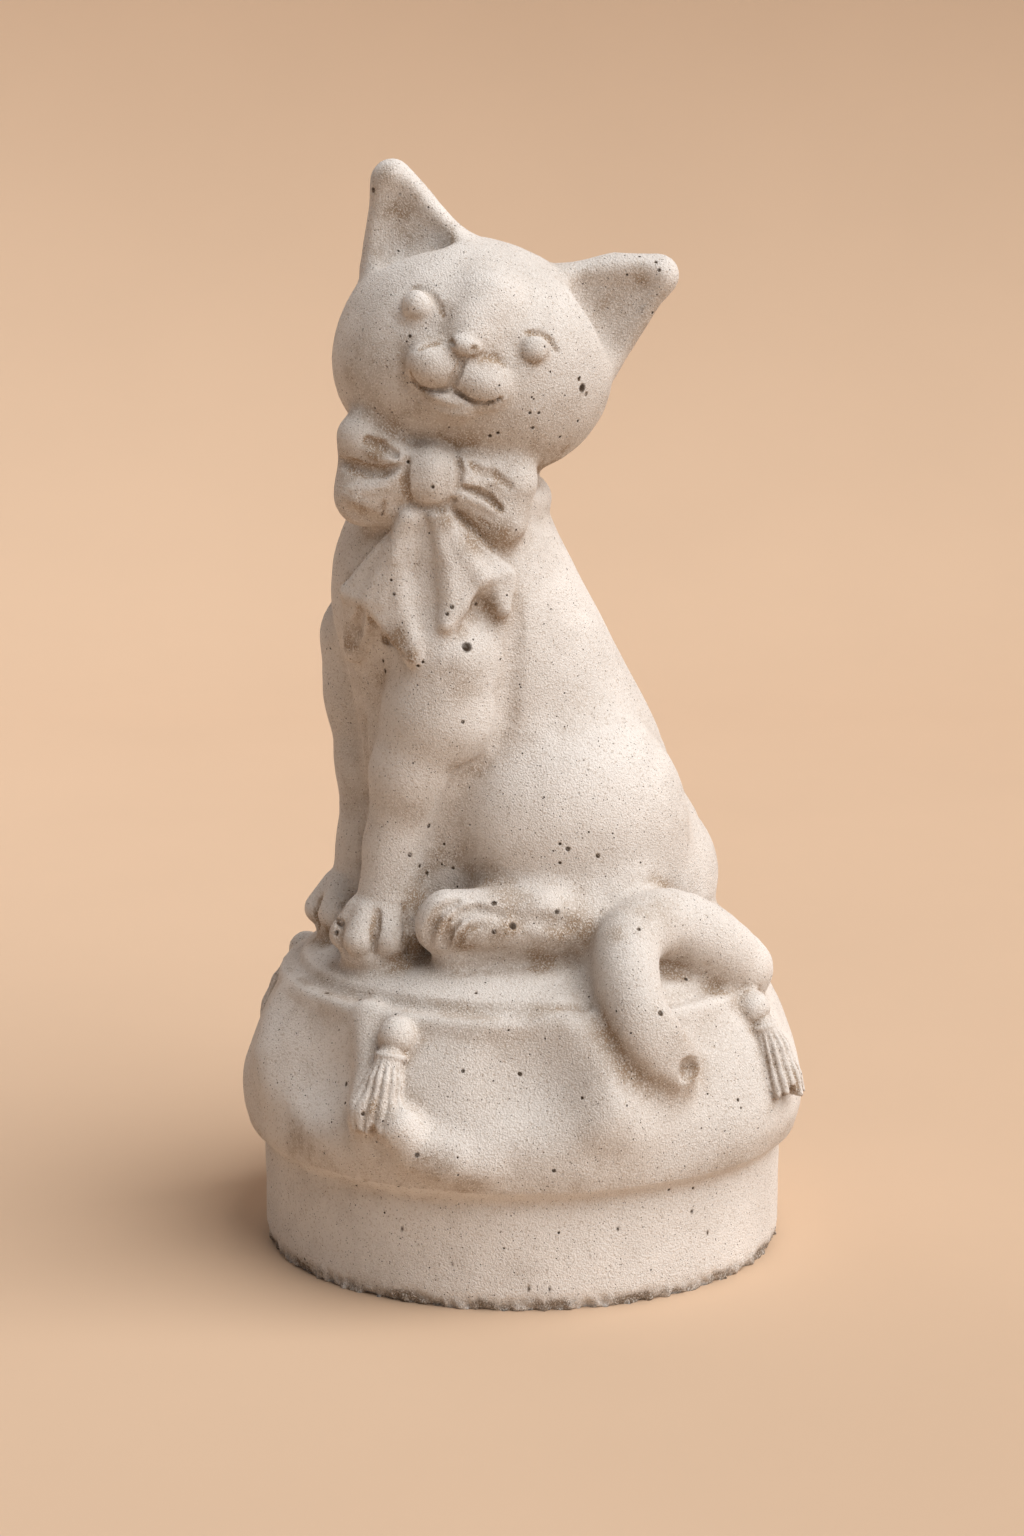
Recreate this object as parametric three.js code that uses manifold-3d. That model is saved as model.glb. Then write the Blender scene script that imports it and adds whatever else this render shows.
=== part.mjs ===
// A garden ornament of cast concrete: a cat that sits on a round tasselled cushion,
// on a plain round plinth. Cat, bow, cushion and plinth are one casting, so one solid.
//
// Millimetres, +Z up. The cat's body faces -Y, and its left side is +X.
// The origin is the middle of the plinth's flat underside.
//
// The casting is described by its distance: a function that is negative inside,
// nought on the surface and positive outside. Forms are joined and carved with
// a rounded fillet, and the surface is then drawn on a grid and thinned out.

import * as THREE from 'three';
import { mergeVertices } from 'three/addons/utils/BufferGeometryUtils.js';
import { SimplifyModifier } from 'three/addons/modifiers/SimplifyModifier.js';
import Module from 'manifold-3d';

const { clamp, degToRad, euclideanModulo, lerp, radToDeg } = THREE.MathUtils;

// Plinth and cushion
const plinthRadius = 97;
const plinthHeight = 46;
const plinthEdge = 3;
const cushionOverhang = 9;
const cushionHeight = 74;
const dimpleDepth = 4.5;
const seamGroove = 1.6;
const hemTuck = 6;

// Tassels, one at each corner of the cushion
const tasselCount = 4;
const tasselBall = 7;
const tasselSkirt = 9;
const tasselLength = 34;

// Cat, from the seat to the tip of the higher ear
const catHeight = 281;

// The head is turned to the cat's left and leans over, in degrees
const headTurn = 72;
const headLean = 20.6;
const bandLean = 12;

// Surface: spacing of the grid, and how many triangles are kept
const cell = 5;
const trianglesKept = 9600;

// Worked out from those sizes
const footing = 2 * cell;
const cushionRadius = plinthRadius + cushionOverhang;
const seatLevel = plinthHeight + cushionHeight;
const unit = catHeight / 100;
const cornerTurn = degToRad(headTurn - 28);
const sideTurn = 2 * Math.PI / tasselCount;

// Vectors

const dot = (a, b) => a[0] * b[0] + a[1] * b[1] + a[2] * b[2];
const minus = (a, b) => [a[0] - b[0], a[1] - b[1], a[2] - b[2]];
const cross = (a, b) => [
  a[1] * b[2] - a[2] * b[1],
  a[2] * b[0] - a[0] * b[2],
  a[0] * b[1] - a[1] * b[0],
];
const blendOf = (a, shareA, b, shareB) => a.map((value, i) => value * shareA + b[i] * shareB);

// Frames: three axes at right angles, for side, up and forward

const up = [0, 0, 1];
const bodyFrame = [[1, 0, 0], [0, 1, 0], up];

function turnedFrame(degrees) {
  const angle = degToRad(degrees);
  return [[Math.cos(angle), Math.sin(angle), 0], up, [Math.sin(angle), -Math.cos(angle), 0]];
}

function leaningFrame([side, rise, forward], degrees) {
  const angle = degToRad(degrees);
  return [
    blendOf(side, Math.cos(angle), rise, -Math.sin(angle)),
    blendOf(side, Math.sin(angle), rise, Math.cos(angle)),
    forward,
  ];
}

function placeIn(frame, origin, [side, rise, forward]) {
  return origin.map((value, i) => (
    value + side * frame[0][i] + rise * frame[1][i] + forward * frame[2][i]
  ));
}

// Joining with a fillet

function roundedMin(a, b, fillet) {
  const overlap = Math.max(fillet - Math.abs(a - b), 0) / fillet;
  return Math.min(a, b) - overlap * overlap * fillet / 4;
}

class Casting {
  steps = [];

  join(form, fillet) {
    this.steps.push({ form, fillet, sign: 1 });
    return this;
  }

  carve(form, fillet) {
    this.steps.push({ form, fillet, sign: -1 });
    return this;
  }

  distance(x, y, z) {
    let result = Infinity;
    for (const { form, fillet, sign } of this.steps) {
      result = sign * roundedMin(sign * result, form(x, y, z), fillet);
    }
    return result;
  }
}

// Simple forms

function ball(centre, radius) {
  return (x, y, z) => Math.hypot(x - centre[0], y - centre[1], z - centre[2]) - radius;
}

function egg(centre, radii, frame = bodyFrame) {
  return (x, y, z) => {
    const from = [x - centre[0], y - centre[1], z - centre[2]];
    const shares = frame.map((axis, i) => dot(from, axis) / radii[i]);
    const reach = Math.hypot(...shares);
    const slope = Math.hypot(shares[0] / radii[0], shares[1] / radii[1], shares[2] / radii[2]);
    return slope > 0 ? reach * (reach - 1) / slope : -Math.min(...radii);
  };
}

// A limb between two points, with a round end of its own radius at each
function limb(start, end, startRadius, endRadius) {
  const along = minus(end, start);
  const length2 = dot(along, along);
  const taper = startRadius - endRadius;
  const side2 = length2 - taper * taper;
  return (x, y, z) => {
    const from = [x - start[0], y - start[1], z - start[2]];
    const share = dot(from, along);
    const past = share - length2;
    const off = from.map((value, i) => value * length2 - along[i] * share);
    const off2 = dot(off, off);
    const share2 = share * share * length2;
    const past2 = past * past * length2;
    const limit = Math.sign(taper) * taper * taper * off2;
    if (Math.sign(past) * side2 * past2 > limit) {
      return Math.sqrt(off2 + past2) / length2 - endRadius;
    }
    if (Math.sign(share) * side2 * share2 < limit) {
      return Math.sqrt(off2 + share2) / length2 - startRadius;
    }
    return (Math.sqrt(off2 * side2 / length2) + share * taper) / length2 - startRadius;
  };
}

// Limbs end to end, joined with a fillet
function chain(points, radii, fillet) {
  const casting = new Casting();
  for (let i = 1; i < points.length; i++) {
    casting.join(limb(points[i - 1], points[i], radii[i - 1], radii[i]), fillet);
  }
  return (x, y, z) => casting.distance(x, y, z);
}

// A three-cornered plate with round edges
function plate(corners, radius) {
  const [a, b, c] = corners;
  const sides = [minus(b, a), minus(c, b), minus(a, c)];
  const normal = cross(sides[0], minus(c, a));
  const walls = sides.map((side) => cross(normal, side));
  const normal2 = dot(normal, normal);
  return (x, y, z) => {
    const from = corners.map((corner) => [x - corner[0], y - corner[1], z - corner[2]]);
    if (walls.every((wall, i) => dot(wall, from[i]) >= 0)) {
      return Math.abs(dot(normal, from[0])) / Math.sqrt(normal2) - radius;
    }
    const gaps = sides.map((side, i) => {
      const share = clamp(dot(side, from[i]) / dot(side, side), 0, 1);
      return Math.hypot(...minus(from[i], side.map((value) => value * share)));
    });
    return Math.min(...gaps) - radius;
  };
}

// A ring round an upright or leaning axis
function ring(centre, axis, radius, thickness) {
  return (x, y, z) => {
    const from = [x - centre[0], y - centre[1], z - centre[2]];
    const height = dot(from, axis);
    const out = Math.sqrt(Math.max(dot(from, from) - height * height, 0));
    return Math.hypot(out - radius, height) - thickness;
  };
}

// Plinth

function plinth(x, y, z) {
  const middle = (plinthHeight - footing) / 2;
  const across = Math.hypot(x, y) - plinthRadius + plinthEdge;
  const above = Math.abs(z - middle) - (plinthHeight + footing) / 2 + plinthEdge;
  const outside = Math.hypot(Math.max(across, 0), Math.max(above, 0));
  return Math.min(Math.max(across, above), 0) + outside - plinthEdge;
}

// Cushion: a turned outline in shares of its radius and height, with dimpled sides

function cushionOutline() {
  const shares = [
    [0.972, 0], [0.995, 0.135], [1, 0.297], [0.958, 0.514], [0.887, 0.689],
    [0.825, 0.804], [0.745, 0.892], [0.566, 0.98], [0.283, 1], [0, 1],
  ];
  const points = shares.map(([out, rise]) => new THREE.Vector2(
    out * cushionRadius,
    plinthHeight + rise * cushionHeight,
  ));
  const hem = plinthHeight - hemTuck;
  return [
    new THREE.Vector2(-plinthRadius, hem),
    new THREE.Vector2(plinthRadius - 1, hem),
    ...new THREE.SplineCurve(points).getPoints(40),
    new THREE.Vector2(-plinthRadius, seatLevel),
  ];
}

// Signed distance from a point to a closed outline in the plane
function toOutline(outline, across, height) {
  let nearest = Infinity;
  let inside = false;
  for (let i = 0, j = outline.length - 1; i < outline.length; j = i++) {
    const a = outline[j];
    const b = outline[i];
    const alongX = b.x - a.x;
    const alongY = b.y - a.y;
    const fromX = across - a.x;
    const fromY = height - a.y;
    const length2 = alongX * alongX + alongY * alongY;
    const share = clamp((fromX * alongX + fromY * alongY) / length2, 0, 1);
    nearest = Math.min(nearest, Math.hypot(fromX - alongX * share, fromY - alongY * share));
    const spans = (a.y > height) !== (b.y > height);
    if (spans && fromX < alongX * fromY / alongY) inside = !inside;
  }
  return inside ? -nearest : nearest;
}

// How far the cushion's side swells out at a place: dimples between the corners,
// and a fuller lobe low down at each corner
function swelling(angle, height) {
  const cycle = euclideanModulo(angle - cornerTurn, sideTurn) / sideTurn;
  const rise = (height - plinthHeight) / cushionHeight;
  const patch = (turn, level, wide, tall) => (
    Math.exp(-(((cycle - turn) / wide) ** 2) - ((rise - level) / tall) ** 2)
  );
  const dimples = patch(0.26, 0.5, 0.155, 0.26) + patch(0.73, 0.49, 0.145, 0.26);
  const lobes = patch(0, 0.15, 0.18, 0.15) + patch(1, 0.15, 0.18, 0.15);
  const hollow = patch(0.61, 0.22, 0.1, 0.12);
  return dimpleDepth * (lobes / 2 - dimples - hollow / 3);
}

function cushion() {
  const outline = cushionOutline();
  return (x, y, z) => {
    const out = Math.hypot(x, y) - swelling(Math.atan2(x, -y), z);
    return toOutline(outline, out, z);
  };
}

// A place on the cushion: angle from the cat's front toward its left, and shares
// of the cushion's radius and of its height above the seat
function onCushion(degrees, out, rise) {
  const angle = degToRad(degrees);
  const radius = out * cushionRadius;
  return [Math.sin(angle) * radius, -Math.cos(angle) * radius, seatLevel + rise * cushionHeight];
}

function addSeam(casting) {
  const centre = [0, 0, seatLevel - 0.13 * cushionHeight];
  casting.carve(ring(centre, up, 0.816 * cushionRadius, seamGroove), 3);
}

// A tassel hangs from the cushion's top edge: a ball, and a skirt with a level lower end
function addTassel(casting, degrees) {
  const ballCentre = onCushion(degrees, 0.89, -0.3);
  const bottom = ballCentre[2] - tasselLength;
  const skirt = chain(
    [onCushion(degrees, 0.93, -0.38), onCushion(degrees, 0.962, -0.49), onCushion(degrees, 0.976, -0.6)],
    [tasselSkirt / 2, 0.72 * tasselSkirt, tasselSkirt],
    1,
  );
  casting.join(ball(ballCentre, tasselBall), 2.5);
  casting.join((x, y, z) => Math.max(skirt(x, y, z), bottom - z), 1.5);
}

// Tail: from under the rump round the cushion's edge, then hooked down over it.
// A bed of the same course fills the gap between the tail and the cushion.

function tail(sink, share) {
  const path = [
    [175, 0.43, 0.06], [158, 0.64, -0.09], [143, 0.79, -0.16], [130, 0.76, 0.02],
    [118, 0.69, 0.15], [103, 0.71, 0.12], [97, 0.82, -0.02], [97, 0.91, -0.19],
    [100, 0.985, -0.34], [103, 1.01, -0.45],
  ];
  const radii = [5, 5, 4.6, 4.6, 4.5, 4.3, 4.1, 3.9, 3.6, 2.8];
  const pieces = 27;
  const curve = new THREE.CatmullRomCurve3(
    path.map(([degrees, out, rise]) => new THREE.Vector3(...onCushion(degrees, out - sink, rise - sink))),
  );
  const thickness = new THREE.SplineCurve(radii.map((value, i) => new THREE.Vector2(i, value)));
  return chain(
    curve.getPoints(pieces).map((point) => point.toArray()),
    thickness.getPoints(pieces).map((point) => point.y * unit * share),
    0.5,
  );
}

// Cat: every place and radius below is in hundredths of the cat's height, with
// the middle of the seat as origin. A pair is made by turning the sign of x.

const mirrored = ([x, y, z], side) => [side * x, y, z];

function addTrunk(cat) {
  cat.join(limb([0, -10, 46.3], [0, 3, 20.6], 15.3, 16), 3.5);
  cat.join(limb([0, -14, 41.3], [0.4, -15, 23.5], 10.3, 6), 3);
  cat.join(limb([0.4, -10.7, 25], [0.7, -12.8, 2], 10, 7.8), 3);
  cat.join(egg([0, 9.3, 6.4], [17.8, 17.4, 14.9]), 4.6);
  cat.join(limb([0.7, -10.3, 54], [2, -10, 64], 11.7, 10.7), 3);
}

function addHaunch(cat, side) {
  const at = (...place) => mirrored(place, side);
  cat.join(egg(at(12.5, 3, 16), [9.6, 15.1, 14.2]), 2.4);
  cat.join(chain([at(21, 4.3, 3.9), at(20.8, -3.6, 4.3), at(18.5, -13.5, 4.3)], [3.2, 4.3, 4.4], 2), 2.4);
  cat.join(limb(at(16, 6, 6), at(15, -6, 4), 7, 6), 3);
  cat.join(ball(at(19.6, -16, 3.2), 3.2), 1);
  cat.join(ball(at(21.7, -13.5, 2.7), 3.4), 1);
  cat.join(ball(at(23, -9.3, 2.3), 2.8), 1);
}

// The shoulders turn a little with the head, so the two forelegs differ
const leftForeleg = {
  path: [[10, -13, 37.7], [9.6, -13.9, 30.6], [8.5, -17.3, 22.8], [7.1, -19.4, 12.8], [7.8, -20.6, 5]],
  radii: [7.8, 7.5, 5.5, 4, 4.4],
  paw: [7.8, -23.5],
};
const rightForeleg = {
  path: [[-9.3, -17.4, 37.7], [-8.9, -17.2, 30.3], [-7.5, -17.8, 21.4], [-6.8, -19, 10.7], [-7.1, -19.9, 5]],
  radii: [7.4, 6.8, 5.2, 4, 4.4],
  paw: [-7.1, -22.8],
};

function addForeleg(cat, { path, radii, paw }) {
  cat.join(chain(path, radii, 2), 1.5);
  cat.join(egg([paw[0], paw[1] + 1.2, -0.6], [5, 5, 3]), 1.5);
  for (const [across, ahead] of [[-3, -0.4], [0, -1.8], [3, -1.1]]) {
    const knuckle = [paw[0] + 0.8 * across, paw[1] + 1.8 + 0.4 * ahead, 3.9];
    const tip = [paw[0] + across, paw[1] - 1.8 + ahead, 1.8];
    cat.join(limb(knuckle, tip, 2.5, 2.1), 0.9);
  }
}

// Head: its places are side, up and forward in the frame of the turned, leaning head

const faceFrame = turnedFrame(headTurn);
const headFrame = leaningFrame(faceFrame, headLean);
const headCentre = [3.4, -8.5, 76];
const onHead = (...place) => placeIn(headFrame, headCentre, place);

function addSkull(cat) {
  cat.join(egg(onHead(1.6, 0, 0), [17.3, 14.8, 16], headFrame), 1.8);
  cat.join(egg(onHead(-4.3, -5, 1.4), [10.3, 9.3, 11.4], headFrame), 3.5);
  cat.join(egg(onHead(5.7, -2.8, 1.4), [10, 8.5, 11.4], headFrame), 3.5);
}

const ears = [
  { tip: [-16.7, 17.1], low: [-13.5, 6], high: [-6.4, 11.7] },
  { tip: [18.5, 17.8], low: [16.7, 5.3], high: [9.3, 12.8] },
];

function addEar(cat, { tip, low, high }) {
  const shell = [onHead(...tip, -0.7), onHead(...low, -2.1), onHead(...high, 0)];
  const middle = tip.map((value, i) => (1.2 * value + low[i] + high[i]) / 3.2);
  const inward = ([side, rise], forward) => (
    onHead(lerp(middle[0], side, 0.55), lerp(middle[1], rise, 0.55), forward)
  );
  cat.join(plate(shell, 2.3), 2.1);
  cat.carve(plate([inward(tip, 2.9), inward(low, 2.5), inward(high, 3.2)], 2), 1);
}

function addFace(cat) {
  const middle = -0.4;
  cat.join(limb(onHead(0, 7.8, 11), onHead(-0.7, 2.8, 15.1), 3.2, 1.6), 2.8);
  for (const side of [-1, 1]) {
    cat.join(egg(onHead(middle + side * 2.85, -1.8, 15.5), [3.2, 2.85, 3.2], headFrame), 1.2);
  }
  cat.join(egg(onHead(-0.7, 2, 17.1), [2, 1.4, 1.4], headFrame), 1.2);
  cat.join(egg(onHead(0, -5.3, 13.9), [3.2, 1.8, 2.85], headFrame), 1);
  for (const [side, depth] of [[-7.9, 12.5], [7.2, 13.5]]) {
    cat.carve(egg(onHead(side, 4.3, depth + 2.7), [3.4, 2.7, 1.4], headFrame), 1);
    cat.join(ball(onHead(side, 4.3, depth), 2.3), 0.5);
  }
}

// Bow: its places are side, up and forward in the frame of the turned head
// The casting is filled in between the bow and the neck

const onBow = (...place) => placeIn(faceFrame, [0, 0, 0], place);

function addBand(cat) {
  const axis = leaningFrame(faceFrame, -bandLean)[1];
  cat.join(ring([0.4, -10.1, 60], axis, 11.2, 2.3), 1);
}

function addBow(cat) {
  const loops = [
    [[-14.8, 63.2, 17.8], [-20, 66, 14.2], 1.8, 3.5],
    [[-14.8, 60.4, 17.8], [-20.5, 58, 14.2], 1.8, 3.9],
    [[-7.6, 62.2, 17.8], [-1.9, 60.6, 14.9], 2.1, 3.9],
    [[-7.6, 59.5, 17.8], [-2.9, 55.6, 15.3], 2.1, 3.6],
  ];
  cat.join(limb(onBow(-11, 60.5, 9), onBow(-11.4, 60, 15), 6, 4), 1);
  cat.join(limb(onBow(-15.6, 57, 15.2), onBow(-15.6, 63, 13.4), 2.7, 2.7), 1);
  cat.join(egg(onBow(-11.4, 62, 18.1), [4, 3.9, 3.9], faceFrame), 0.9);
  for (const [inner, outer, narrow, full] of loops) {
    cat.join(limb(onBow(...inner), onBow(...outer), narrow, full), 0.9);
  }
  cat.carve(egg(onBow(-17.8, 64.6, 18.9), [2.8, 1.1, 1.8], faceFrame), 0.7);
  cat.carve(limb(onBow(-7.3, 60.5, 21.4), onBow(-2.9, 57.6, 19.9), 0.7, 0.9), 0.7);
}

// The bow's two forked tails, each cut from three-cornered pieces of ribbon
function addBowTails(cat) {
  const pieces = [
    [[-12.3, 56.7, 15.8], [-15.3, 46.7, 15.2], [-10.5, 45.5, 16]],
    [[-14.2, 55.9, 17.4], [-21.5, 45, 12.1], [-17.4, 45.6, 16.4]],
    [[-21.5, 45, 12.1], [-21.4, 39, 9.6], [-18.9, 45.4, 14.9]],
    [[-14.2, 55.9, 17.4], [-18.9, 45.4, 14.9], [-13.6, 40.1, 19.2]],
    [[-10.4, 56.6, 17.8], [-9.7, 43.2, 19.2], [-5.4, 48.6, 17.8]],
    [[-10.4, 56.6, 17.8], [-5.4, 48.6, 17.8], [-2.6, 49.1, 16]],
    [[-5.4, 48.7, 17.8], [-2.2, 48.7, 16], [-2.4, 44.7, 16.4]],
  ];
  for (const corners of pieces) {
    cat.join(plate(corners.map((corner) => onBow(...corner)), 1.35), 0.8);
  }
}

function makeCat() {
  const cat = new Casting();
  addTrunk(cat);
  addHaunch(cat, 1);
  addHaunch(cat, -1);
  addForeleg(cat, leftForeleg);
  addForeleg(cat, rightForeleg);
  addSkull(cat);
  ears.forEach((ear) => addEar(cat, ear));
  addFace(cat);
  addBand(cat);
  addBow(cat);
  addBowTails(cat);
  return (x, y, z) => unit * cat.distance(x / unit, y / unit, (z - seatLevel) / unit);
}

// The whole casting, with a footing below the ground level that is cut off later

function makeCasting() {
  const casting = new Casting();
  casting.join(plinth, 1);
  casting.join(cushion(), 3);
  addSeam(casting);
  casting.join(makeCat(), 4);
  casting.join(tail(0.09, 0.9), 7);
  casting.join(tail(0, 1), 5);
  for (let i = 0; i < tasselCount; i++) {
    addTassel(casting, radToDeg(cornerTurn + i * sideTurn));
  }
  return casting;
}

// Surface of a casting on a grid of cubes: one point in each cube that the surface
// crosses, and one four-sided face round each grid edge that it crosses

const cubeCorners = [0, 1, 2, 3, 4, 5, 6, 7].map((n) => [n & 1, (n >> 1) & 1, n >> 2]);
const cubeEdges = cubeCorners.flatMap((corner, a) => (
  [1, 2, 4].filter((step) => !(a & step)).map((step) => [a, a + step])
));

class Grid {
  constructor(low, high) {
    this.low = low;
    this.counts = low.map((value, i) => Math.ceil((high[i] - value) / cell) + 1);
    this.strides = [1, this.counts[0], this.counts[0] * this.counts[1]];
  }

  index(place) {
    return dot(place, this.strides);
  }

  // Calls back with each place from the first index on, with some spare at the far end
  visit(first, spare, call) {
    const [countX, countY, countZ] = this.counts;
    for (let k = first; k < countZ - spare; k++) {
      for (let j = first; j < countY - spare; j++) {
        for (let i = first; i < countX - spare; i++) call([i, j, k]);
      }
    }
  }

  point(place) {
    return place.map((value, i) => this.low[i] + value * cell);
  }
}

// The mean of the points where the surface crosses one cube's edges
function crossingPoint(grid, values, place) {
  const found = cubeEdges.flatMap(([a, b]) => {
    const [startValue, endValue] = [a, b].map((n) => (
      values[grid.index(place.map((value, i) => value + cubeCorners[n][i]))]
    ));
    if (startValue < 0 === endValue < 0) return [];
    const share = startValue / (startValue - endValue);
    return [cubeCorners[a].map((value, i) => value + share * (cubeCorners[b][i] - value))];
  });
  if (found.length === 0) return null;
  const mean = [0, 1, 2].map((i) => found.reduce((sum, point) => sum + point[i], 0) / found.length);
  return grid.point(place.map((value, i) => value + mean[i]));
}

// Moves a point along the slope of the distance until it lies on the surface
function settle(casting, point) {
  const step = 0.2;
  let [x, y, z] = point;
  for (let pass = 0; pass < 2; pass++) {
    const here = casting.distance(x, y, z);
    const slope = [
      casting.distance(x + step, y, z) - here,
      casting.distance(x, y + step, z) - here,
      casting.distance(x, y, z + step) - here,
    ].map((value) => value / step);
    const move = clamp(here, -cell / 3, cell / 3) / Math.max(dot(slope, slope), 0.3);
    x -= move * slope[0];
    y -= move * slope[1];
    z -= move * slope[2];
  }
  return [x, y, z];
}

function surfaceOf(casting, low, high) {
  const grid = new Grid(low, high);
  const total = grid.counts[0] * grid.counts[1] * grid.counts[2];
  const values = new Float32Array(total);
  const pointAt = new Int32Array(total).fill(-1);
  const points = [];
  const faces = [];
  grid.visit(0, 0, (place) => {
    values[grid.index(place)] = casting.distance(...grid.point(place));
  });
  grid.visit(0, 1, (place) => {
    const point = crossingPoint(grid, values, place);
    if (point === null) return;
    pointAt[grid.index(place)] = points.length / 3;
    points.push(...settle(casting, point));
  });
  grid.visit(1, 1, (place) => {
    const here = grid.index(place);
    const inside = values[here] < 0;
    for (let axis = 0; axis < 3; axis++) {
      if (inside === values[here + grid.strides[axis]] < 0) continue;
      const across = grid.strides[(axis + 1) % 3];
      const beyond = grid.strides[(axis + 2) % 3];
      const loop = [here - across - beyond, here - beyond, here, here - across].map((n) => pointAt[n]);
      if (!inside) loop.reverse();
      faces.push(loop[0], loop[1], loop[2], loop[0], loop[2], loop[3]);
    }
  });
  const geometry = new THREE.BufferGeometry();
  geometry.setAttribute('position', new THREE.Float32BufferAttribute(points, 3));
  geometry.setIndex(faces);
  return geometry;
}

// Solid geometry

const wasm = await Module();
wasm.setup();

function toSolid(geometry) {
  return new wasm.Manifold(new wasm.Mesh({
    numProp: 3,
    vertProperties: new Float32Array(geometry.getAttribute('position').array),
    triVerts: new Uint32Array(geometry.getIndex().array),
  }));
}

function toGeometry(solid) {
  const { vertProperties, triVerts } = solid.getMesh();
  const geometry = new THREE.BufferGeometry();
  geometry.setAttribute('position', new THREE.Float32BufferAttribute(vertProperties, 3));
  geometry.setIndex(new THREE.BufferAttribute(triVerts, 1));
  return geometry;
}

// A block below the ground level, with shared corners
function groundBlock(width, depth) {
  const block = new THREE.BoxGeometry(width, width, depth);
  block.deleteAttribute('normal');
  block.deleteAttribute('uv');
  block.translate(0, 0, -depth / 2);
  return mergeVertices(block);
}

// The surface with fewer triangles, as many as are kept
async function thinned(geometry) {
  const share = trianglesKept / (geometry.getIndex().count / 3);
  const pointCount = geometry.getAttribute('position').count;
  return new SimplifyModifier().modify(geometry, Math.round((1 - share) * pointCount));
}

async function castingGeometry() {
  const reach = cushionRadius + 4 * cell;
  const low = [-reach, -reach, -footing - 2 * cell];
  const high = [reach, reach, seatLevel + catHeight + 2 * cell];
  const surface = await thinned(surfaceOf(makeCasting(), low, high));
  return toGeometry(toSolid(surface).subtract(toSolid(groundBlock(2 * reach, 2 * footing))));
}

// Material and object

function concrete() {
  return new THREE.MeshStandardMaterial({ color: 0xb9b1a5, roughness: 0.92, metalness: 0 });
}

async function catStatue() {
  const mesh = new THREE.Mesh(await castingGeometry(), concrete());
  mesh.name = 'cat_statue';
  return mesh;
}

const statue = new THREE.Group();
statue.name = 'cat_statue_ornament';
statue.add(await catStatue());

export default statue;
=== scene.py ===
"""A garden statue of cast concrete: a cat on a tasselled cushion, on a plain round plinth.

The statue is one casting. It is described by its distance: a field that is negative
inside, nought on the surface and positive outside. Forms are joined to it and carved
out of it with rounded fillets, as a modeller builds up clay, and the finer marks are
then drawn on its surface from the photograph's viewpoint. All places are millimetres
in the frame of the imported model, and each mesh is written out in metres.
"""

import logging
import math
from dataclasses import dataclass, field
from enum import Enum
from typing import Any, Callable, Sequence

import bmesh
import bpy
import numpy as np
from mathutils import Matrix, Vector, noise


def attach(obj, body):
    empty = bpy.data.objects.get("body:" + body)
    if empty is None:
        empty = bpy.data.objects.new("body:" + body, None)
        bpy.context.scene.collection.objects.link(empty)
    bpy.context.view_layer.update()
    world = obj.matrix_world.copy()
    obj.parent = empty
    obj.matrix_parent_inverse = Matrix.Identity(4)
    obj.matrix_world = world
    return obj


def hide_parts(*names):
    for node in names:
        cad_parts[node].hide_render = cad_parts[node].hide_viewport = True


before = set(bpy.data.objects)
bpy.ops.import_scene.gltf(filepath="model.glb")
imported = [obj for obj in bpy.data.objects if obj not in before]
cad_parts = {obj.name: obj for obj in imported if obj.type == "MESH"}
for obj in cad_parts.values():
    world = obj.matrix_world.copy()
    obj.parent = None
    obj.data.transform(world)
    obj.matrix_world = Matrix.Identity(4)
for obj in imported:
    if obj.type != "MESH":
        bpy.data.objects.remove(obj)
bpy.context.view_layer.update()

log = logging.getLogger("statue")

METRE = 0.001
NODE = "cat_statue"
BODY = "root"

# How far from its surface, in millimetres, a form's distance is still worked out
REACH = 11.0

# Steps of a sight line toward the statue, the share of the free distance that each
# takes, and how far off the surface it may end, in millimetres
SIGHT_STEPS = 120
SIGHT_SHARE = 0.8
SIGHT_GAP = 0.5

# How far apart the slope of the surface is measured, in millimetres, where a mark is drawn
MARK_STEP = 0.6

Values = np.ndarray
Points = np.ndarray
Triple = tuple[float, float, float]
Pixel = tuple[float, float]

UP = np.array([0.0, 0.0, 1.0])
BODY_AXES = np.eye(3)


# Vectors


def dots(a: Points, b: Points) -> Values:
    """Row by row dot products of two arrays of vectors."""
    return np.einsum("ij,ij->i", a, b)


def lengths(a: Points) -> Values:
    """Length of each row of an array of vectors."""
    return np.sqrt(dots(a, a))


def unit_rows(a: Points) -> Points:
    """The rows of an array, each with length one."""
    return a / np.maximum(lengths(a), 1e-9)[:, None]


def turned_axes(degrees: float) -> Points:
    """Side, up and forward axes turned about the vertical.

    Args:
        degrees: turn from the front (-Y) toward the left side (+X).

    Returns:
        Three rows: side, up and forward.
    """
    c, s = math.cos(math.radians(degrees)), math.sin(math.radians(degrees))
    return np.array([[c, s, 0.0], [0.0, 0.0, 1.0], [s, -c, 0.0]])


def leaning_axes(axes: Points, degrees: float) -> Points:
    """Side, up and forward axes that lean over sideways.

    Args:
        axes: the upright axes.
        degrees: how far they lean.

    Returns:
        Three rows: side, up and forward.
    """
    c, s = math.cos(math.radians(degrees)), math.sin(math.radians(degrees))
    side, rise, forward = axes
    return np.array([side * c - rise * s, side * s + rise * c, forward])


# Forms, each with its distance and the box that it fills


class Form:
    """A shape that knows its distance from any point."""

    def distance(self, points: Points) -> Values:
        """Signed distance of each point, negative inside."""
        raise NotImplementedError

    def box(self) -> tuple[Points, Points]:
        """Lowest and highest corners of the space that the form fills."""
        raise NotImplementedError


@dataclass
class Ball(Form):
    """A ball."""

    centre: Sequence[float]
    radius: float

    def distance(self, points: Points) -> Values:
        """Signed distance of each point, negative inside."""
        return lengths(points - np.asarray(self.centre)) - self.radius

    def box(self) -> tuple[Points, Points]:
        """Lowest and highest corners of the space that the form fills."""
        centre = np.asarray(self.centre)
        return centre - self.radius, centre + self.radius


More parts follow.
